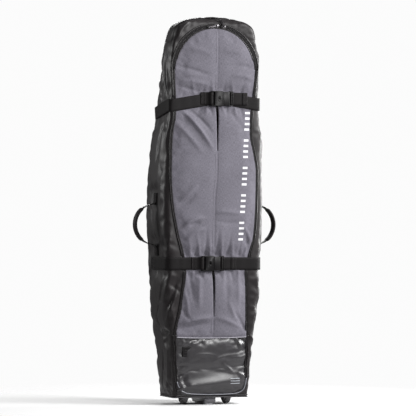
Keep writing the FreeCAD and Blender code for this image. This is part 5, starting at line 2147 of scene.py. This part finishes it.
# ---------------------------------------------------------------- handles and haul loop
@dataclass
class Handle:
    """A side handle: webbing loop, padded sleeve and the two patches it is sewn to."""

    side: Side
    wide: float = 0.028
    root_x: float = 0.221

    def arc(self, angles: Array, grow: float = 0.0) -> tuple[Array, Array]:
        """Points and outward directions of the handle's curve."""
        low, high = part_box(self.side.word + "_handle")
        reach = max(abs(low.x), abs(high.x)) - 0.002
        root, z0, z1 = self.root_x, low.z + 0.002, high.z - 0.002
        chord, rise = (z1 - z0) / 2, reach - root
        r = (chord**2 + rise**2) / (2 * rise)
        centre = np.array([reach - r, 0, (z0 + z1) / 2])
        a = np.radians(angles)
        out = np.stack([np.cos(a), 0 * a, np.sin(a)], 1)
        points = centre + out * (r + grow)
        flip = np.array([self.side.value, 1, 1])
        return points * flip, out * flip

    def build(self) -> None:
        """Webbing, sleeve, patches and stitching."""
        s, word = self.side.value, self.side.word
        low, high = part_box(word + "_anchors")
        curve, out = self.arc(np.linspace(-84, 84, 61))
        for k, sign in enumerate((-1, 1)):
            z_far = low.z + 0.001 if sign < 0 else high.z - 0.001
            wall = float(max(FORM.half(z_far), FORM.half(z_far - sign * 0.044))) + 0.0035
            run = curve[:14][::-1] if sign < 0 else curve[-14:]
            run_out = out[:14][::-1] if sign < 0 else out[-14:]
            end = run[-1]
            bendy = np.array(
                [
                    run[-3],
                    run[-1],
                    (s * 0.2150, 0, end[2] + sign * 0.004),
                    (s * (wall + 0.0005), 0, end[2] + sign * 0.012),
                    (s * wall, 0, z_far - sign * 0.012),
                    (s * wall, 0, z_far),
                ]
            )
            path = np.vstack([run[:-3], bend(bendy, 0.003)])
            ahead = unit(np.gradient(path, axis=0))
            facing = unit(np.cross(ahead, (0, 1.0, 0)))
            facing = facing * np.sign((facing[:1] * run_out[:1]).sum() or 1)
            strip = sweep(
                f"{word}_handle_root_{k}",
                path,
                facing,
                flat_profile(self.wide, 0.0018),
                across=ways(BACKWARD, len(path)),
            )
            dress(strip, WEB, "")
            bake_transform(strip)
            patch_z = np.linspace(z_far - sign * 0.046, z_far + sign * 0.002, 14)
            plate = np.stack([np.full(14, s * (wall - 0.0022)), np.zeros(14), patch_z], 1)
            sewn = sweep(
                f"{word}_anchor_patch_{k}",
                plate,
                ways((s, 0.0, 0.0), 14),
                flat_profile(0.038, 0.0016),
                across=ways(BACKWARD, 14),
            )
            dress(sewn, WEB, "bag", (word + "_anchors",) if k == 0 else ())
            z_in = z_far - sign * 0.022
            box = np.array(
                [
                    (s * (wall + 0.0009), y, z) for y, z in (
                        (-0.011, z_in),
                        (0.011, z_in),
                        (0.011, z_far - sign * 0.003),
                        (-0.011, z_far - sign * 0.003),
                        (-0.011, z_in),
                        (0.011, z_far - sign * 0.003),
                    )
                ]
            )
            stitched(f"{word}_anchor_box_{k}", even(box, 0.003), ways((s, 0.0, 0.0), len(even(box, 0.003))), "bag")
        middle, m_out = self.arc(np.linspace(-62, 62, 50))
        dress(
            sweep(
                word + "_handle_webbing", middle, m_out, flat_profile(self.wide, 0.0036), across=ways(BACKWARD, 50)
            ),
            WEB,
            word + "_handle",
            (word + "_handle",),
        )
        path, out = self.arc(np.linspace(-52, 52, 90), 0.0004)
        t = np.linspace(-1, 1, 90)
        full = 1 - 0.42 * smooth(np.abs(t), 0.90, 1.0) + 0.030 * np.sin(t * 46) * (1 - np.abs(t))
        a = np.linspace(0, 2 * np.pi, 26, endpoint=False)
        section = np.stack(
            [
                np.sign(np.cos(a)) * np.abs(np.cos(a)) ** 0.75 * 0.0176,
                np.sign(np.sin(a)) * np.abs(np.sin(a)) ** 0.8 * 0.0066,
            ],
            1,
        )
        sleeve = sweep(
            word + "_grip_sleeve",
            path,
            out,
            section,
            np.stack([0.92 + 0.08 * full, full], 1),
            across=ways(BACKWARD, 90),
        )
        dress(sleeve, SLEEVE, word + "_handle", (word + "_grip",))
        seam, s_out = self.arc(np.linspace(-48, 48, 60), 0.0068)
        stitched(word + "_grip_seam", seam, s_out, word + "_handle")


@dataclass
class HaulLoop:
    """A low webbing loop sewn to the crown."""

    wide: float = 0.025
    foot_z: float = 1.5462

    def build(self) -> None:
        """The loop, its flat ends and their stitching."""
        low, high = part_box("haul_loop")
        y = (low.y + high.y) / 2
        top = high.z - 0.0048
        foot = self.foot_z
        xs = [-0.058, -0.046, -0.036, -0.028, -0.015, 0.0, 0.015, 0.028, 0.036, 0.046, 0.058]
        zs = [
            foot - 0.0016, foot - 0.0004, foot, foot + 0.0030, top - 0.0012, top, top - 0.0012, foot + 0.0030, foot,
            foot - 0.0004, foot - 0.0016,
        ]
        path = bend(np.array([(x, y, z) for x, z in zip(xs, zs)]), 0.002, 2)
        across = ways(BACKWARD, len(path))
        out = unit(np.cross(unit(np.gradient(path, axis=0)), across)) * -1
        out = out if out[0, 2] > 0 else -out
        loop = sweep("haul_loop_webbing", path, out, flat_profile(self.wide, 0.0020), across=across)
        dress(loop, WEB, "", ("haul_loop",))
        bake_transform(loop)
        span = np.linspace(-0.040, 0.040, 20)
        strip = np.stack([span, np.full(20, y), np.full(20, foot - 0.0006)], 1)
        base = sweep("haul_base", strip, ways(UPWARD, 20), flat_profile(self.wide, 0.0018), across=across[:20])
        dress(base, WEB)
        for k, s in enumerate((-1, 1)):
            box = np.array(
                [
                    (s * 0.041, y - 0.009, foot),
                    (s * 0.041, y + 0.009, foot),
                    (s * 0.055, y + 0.009, foot - 0.001),
                    (s * 0.055, y - 0.009, foot - 0.001),
                    (s * 0.041, y - 0.009, foot),
                ]
            )
            box = even(box, 0.003) + np.array([0, 0, 0.0008])
            stitched(f"haul_box_{k}", box, ways(UPWARD, len(box)), "bag", THREAD, 0.004)


# ---------------------------------------------------------------- base and wheels
@dataclass
class Base:
    """Moulded tray, wheel housings, wheels, foot and runner."""

    def build(self) -> None:
        """Rounds the moulded parts and dresses the rest."""
        rounded("base_tray", 0.0012, BASE)
        rounded("skid_foot", 0.0035, FOOT)
        rounded("wear_strip", 0.0012, RUNNER)
        for side in Side:
            rounded(side.word + "_wheel_housing", 0.0008, BASE)
            rounded(side.word + "_hub", 0.0006, HUB)
            dress_nodes(TYRE, side.word + "_tyre")
            dress_nodes(STEEL, side.word + "_bearings", side.word + "_axle")
            self.tread(side)
        dress_nodes(STEEL, "base_fasteners")
        dress_nodes(LINING, "base_board")
        rim_z, rim_proud, bead_z, bead_proud = 0.0385, 0.0012, 0.0309, 0.0028
        ring = self.ring(rim_z, rim_proud)
        rim = sweep("rim_binding", ring, FORM.outward(ring), round_profile(0.0024), loop=True)
        dress(rim, BINDING)
        groove = self.ring(bead_z, bead_proud)
        lip = sweep("tray_bead", groove, FORM.outward(groove), round_profile(0.0011, 8), loop=True)
        dress(lip, BASE)

    def ring(self, z: float, proud: float) -> Array:
        """A closed line round the bag at one height."""
        a = np.linspace(0, 2 * np.pi, 721)[:-1]
        way = np.stack([np.cos(a), np.sin(a), 0 * a], 1)
        line = FORM.cast(np.tile((0.0, 0.0, z), (720, 1)), way, proud)
        return even(np.vstack([line, line[:1]]), 0.005)[:-1]

    def tread(self, side: Side) -> None:
        """Fine grooves' ribs round a tyre."""
        low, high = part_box(side.word + "_tyre")
        centre = np.array([(low.x + high.x) / 2, (low.y + high.y) / 2, (low.z + high.z) / 2])
        a = np.linspace(0, 2 * np.pi, 97)[:-1]
        out = np.stack([0 * a, np.cos(a), np.sin(a)], 1)
        rib_r, rib_dx = 0.0355, 0.0085
        for k, dx in enumerate((-rib_dx, rib_dx)):
            path = centre + out * rib_r + np.array([dx, 0, 0])
            rib = sweep(f"{side.word}_tyre_rib_{k}", path, out, round_profile(0.0009, 6), loop=True)
            dress(rib, TYRE, side.word + "_wheel")


# ---------------------------------------------------------------- studio
@dataclass
class Studio:
    """Pale floor, soft lights and the camera."""

    azimuth: float = -20.0
    distance: float = 12.0
    frame_width: float = 1.676
    shift: float = 0.0129
    lean: float = 0.35
    ambient: float = 0.20
    backdrop: float = 0.97
    aim_z: float = 0.787
    sensor: float = 36.0

    def build(self) -> None:
        """Places everything that isn't the object."""
        scene = bpy.context.scene
        low, high = CAD_BOX
        n, floor_z = 72, low.z - 0.0005
        rings = [np.array([(0.0, 0.0, floor_z)])]
        faces: list[list[int]] = []
        a = np.linspace(0, 2 * np.pi, n, endpoint=False)
        for k, radius in enumerate((0.4, 0.9, 1.4, 2.0)):
            rings.append(np.stack([radius * np.cos(a), radius * np.sin(a), np.full(n, floor_z)], 1))
            for i in range(n):
                j = (i + 1) % n
                if k == 0:
                    faces.append([0, 1 + i, 1 + j])
                else:
                    faces.append([1 + (k - 1) * n + i, 1 + k * n + i, 1 + k * n + j, 1 + (k - 1) * n + j])
        points = np.vstack(rings)
        floor = mesh_object("studio_floor", points, faces, points[:, :2])
        floor.data.materials.append(FLOOR.material())
        self.surroundings()
        scene.view_settings.view_transform = "Standard"
        aim = Vector((0, 0, (low.z + high.z) / 2))
        for name, place, power, size in (
            ("key", (3.0, -1.8, 2.3), 270.0, 1.2),
            ("fill", (-2.8, -2.6, 1.4), 6.0, 1.6),
            ("right_edge", (3.0, 0.5, 0.9), 110.0, 1.0),
            ("left_edge", (-2.7, 1.5, 1.5), 48.0, 0.8),
            ("top", (0.0, -0.5, 3.4), 16.0, 1.2),
            ("front_strip", (1.15, -3.0, 1.75), 72.0, 0.7),
            ("behind", (0.8, 3.0, 2.0), 55.0, 1.2),
        ):
            lamp = bpy.data.lights.new(name, "AREA")
            lamp.energy, lamp.size = power, size
            holder = bpy.data.objects.new(name, lamp)
            holder.location = place
            holder.rotation_euler = (aim - Vector(place)).to_track_quat("-Z", "Y").to_euler()
            scene.collection.objects.link(holder)
        self.camera(aim)

    def surroundings(self) -> None:
        """White seen behind the object, and a dimmer even light on it."""
        world = bpy.data.worlds.new("studio")
        world.use_nodes = True
        tree = world.node_tree
        dim = tree.nodes["Background"]
        dim.inputs["Color"].default_value = (1, 1, 1, 1)
        dim.inputs["Strength"].default_value = self.ambient
        white = tree.nodes.new("ShaderNodeBackground")
        white.inputs["Color"].default_value = (1, 1, 1, 1)
        white.inputs["Strength"].default_value = self.backdrop
        mix = tree.nodes.new("ShaderNodeMixShader")
        path = tree.nodes.new("ShaderNodeLightPath")
        tree.links.new(path.outputs["Is Camera Ray"], mix.inputs[0])
        tree.links.new(dim.outputs[0], mix.inputs[1])
        tree.links.new(white.outputs[0], mix.inputs[2])
        tree.links.new(mix.outputs[0], tree.nodes["World Output"].inputs["Surface"])
        bpy.context.scene.world = world

    def camera(self, aim: Vector) -> None:
        """Level camera, turned to the bag's left."""
        a = math.radians(self.azimuth)
        back = Vector((math.sin(a), -math.cos(a), 0))
        right = Vector((math.cos(a), math.sin(a), 0))
        target = Vector((0, 0, self.aim_z)) + right * self.shift
        lens = bpy.data.cameras.new("studio_camera")
        lens.sensor_width = self.sensor
        lens.lens = self.sensor * self.distance / self.frame_width
        lens.clip_end = 100
        holder = bpy.data.objects.new("studio_camera", lens)
        holder.location = target + back * self.distance
        look = (-back).to_track_quat("-Z", "Y")
        holder.rotation_mode = "QUATERNION"
        holder.rotation_quaternion = look @ Quaternion((0, 0, 1), math.radians(self.lean))
        bpy.context.scene.collection.objects.link(holder)
        bpy.context.scene.camera = holder


def main() -> None:
    """Builds the bag's pieces in order, then the studio."""
    logging.basicConfig(level=logging.INFO, format="%(name)s %(message)s")
    front = Front()
    front.build_lid()
    front.build_boot()
    GussetBand().build()
    Back().build()
    Lining().build()
    Zips().build()
    for line in STRAPS:
        Strap(line).build()
    for side in Side:
        Handle(side).build()
    HaulLoop().build()
    Base().build()
    Studio().build()


if __name__ == "__main__":
    main()
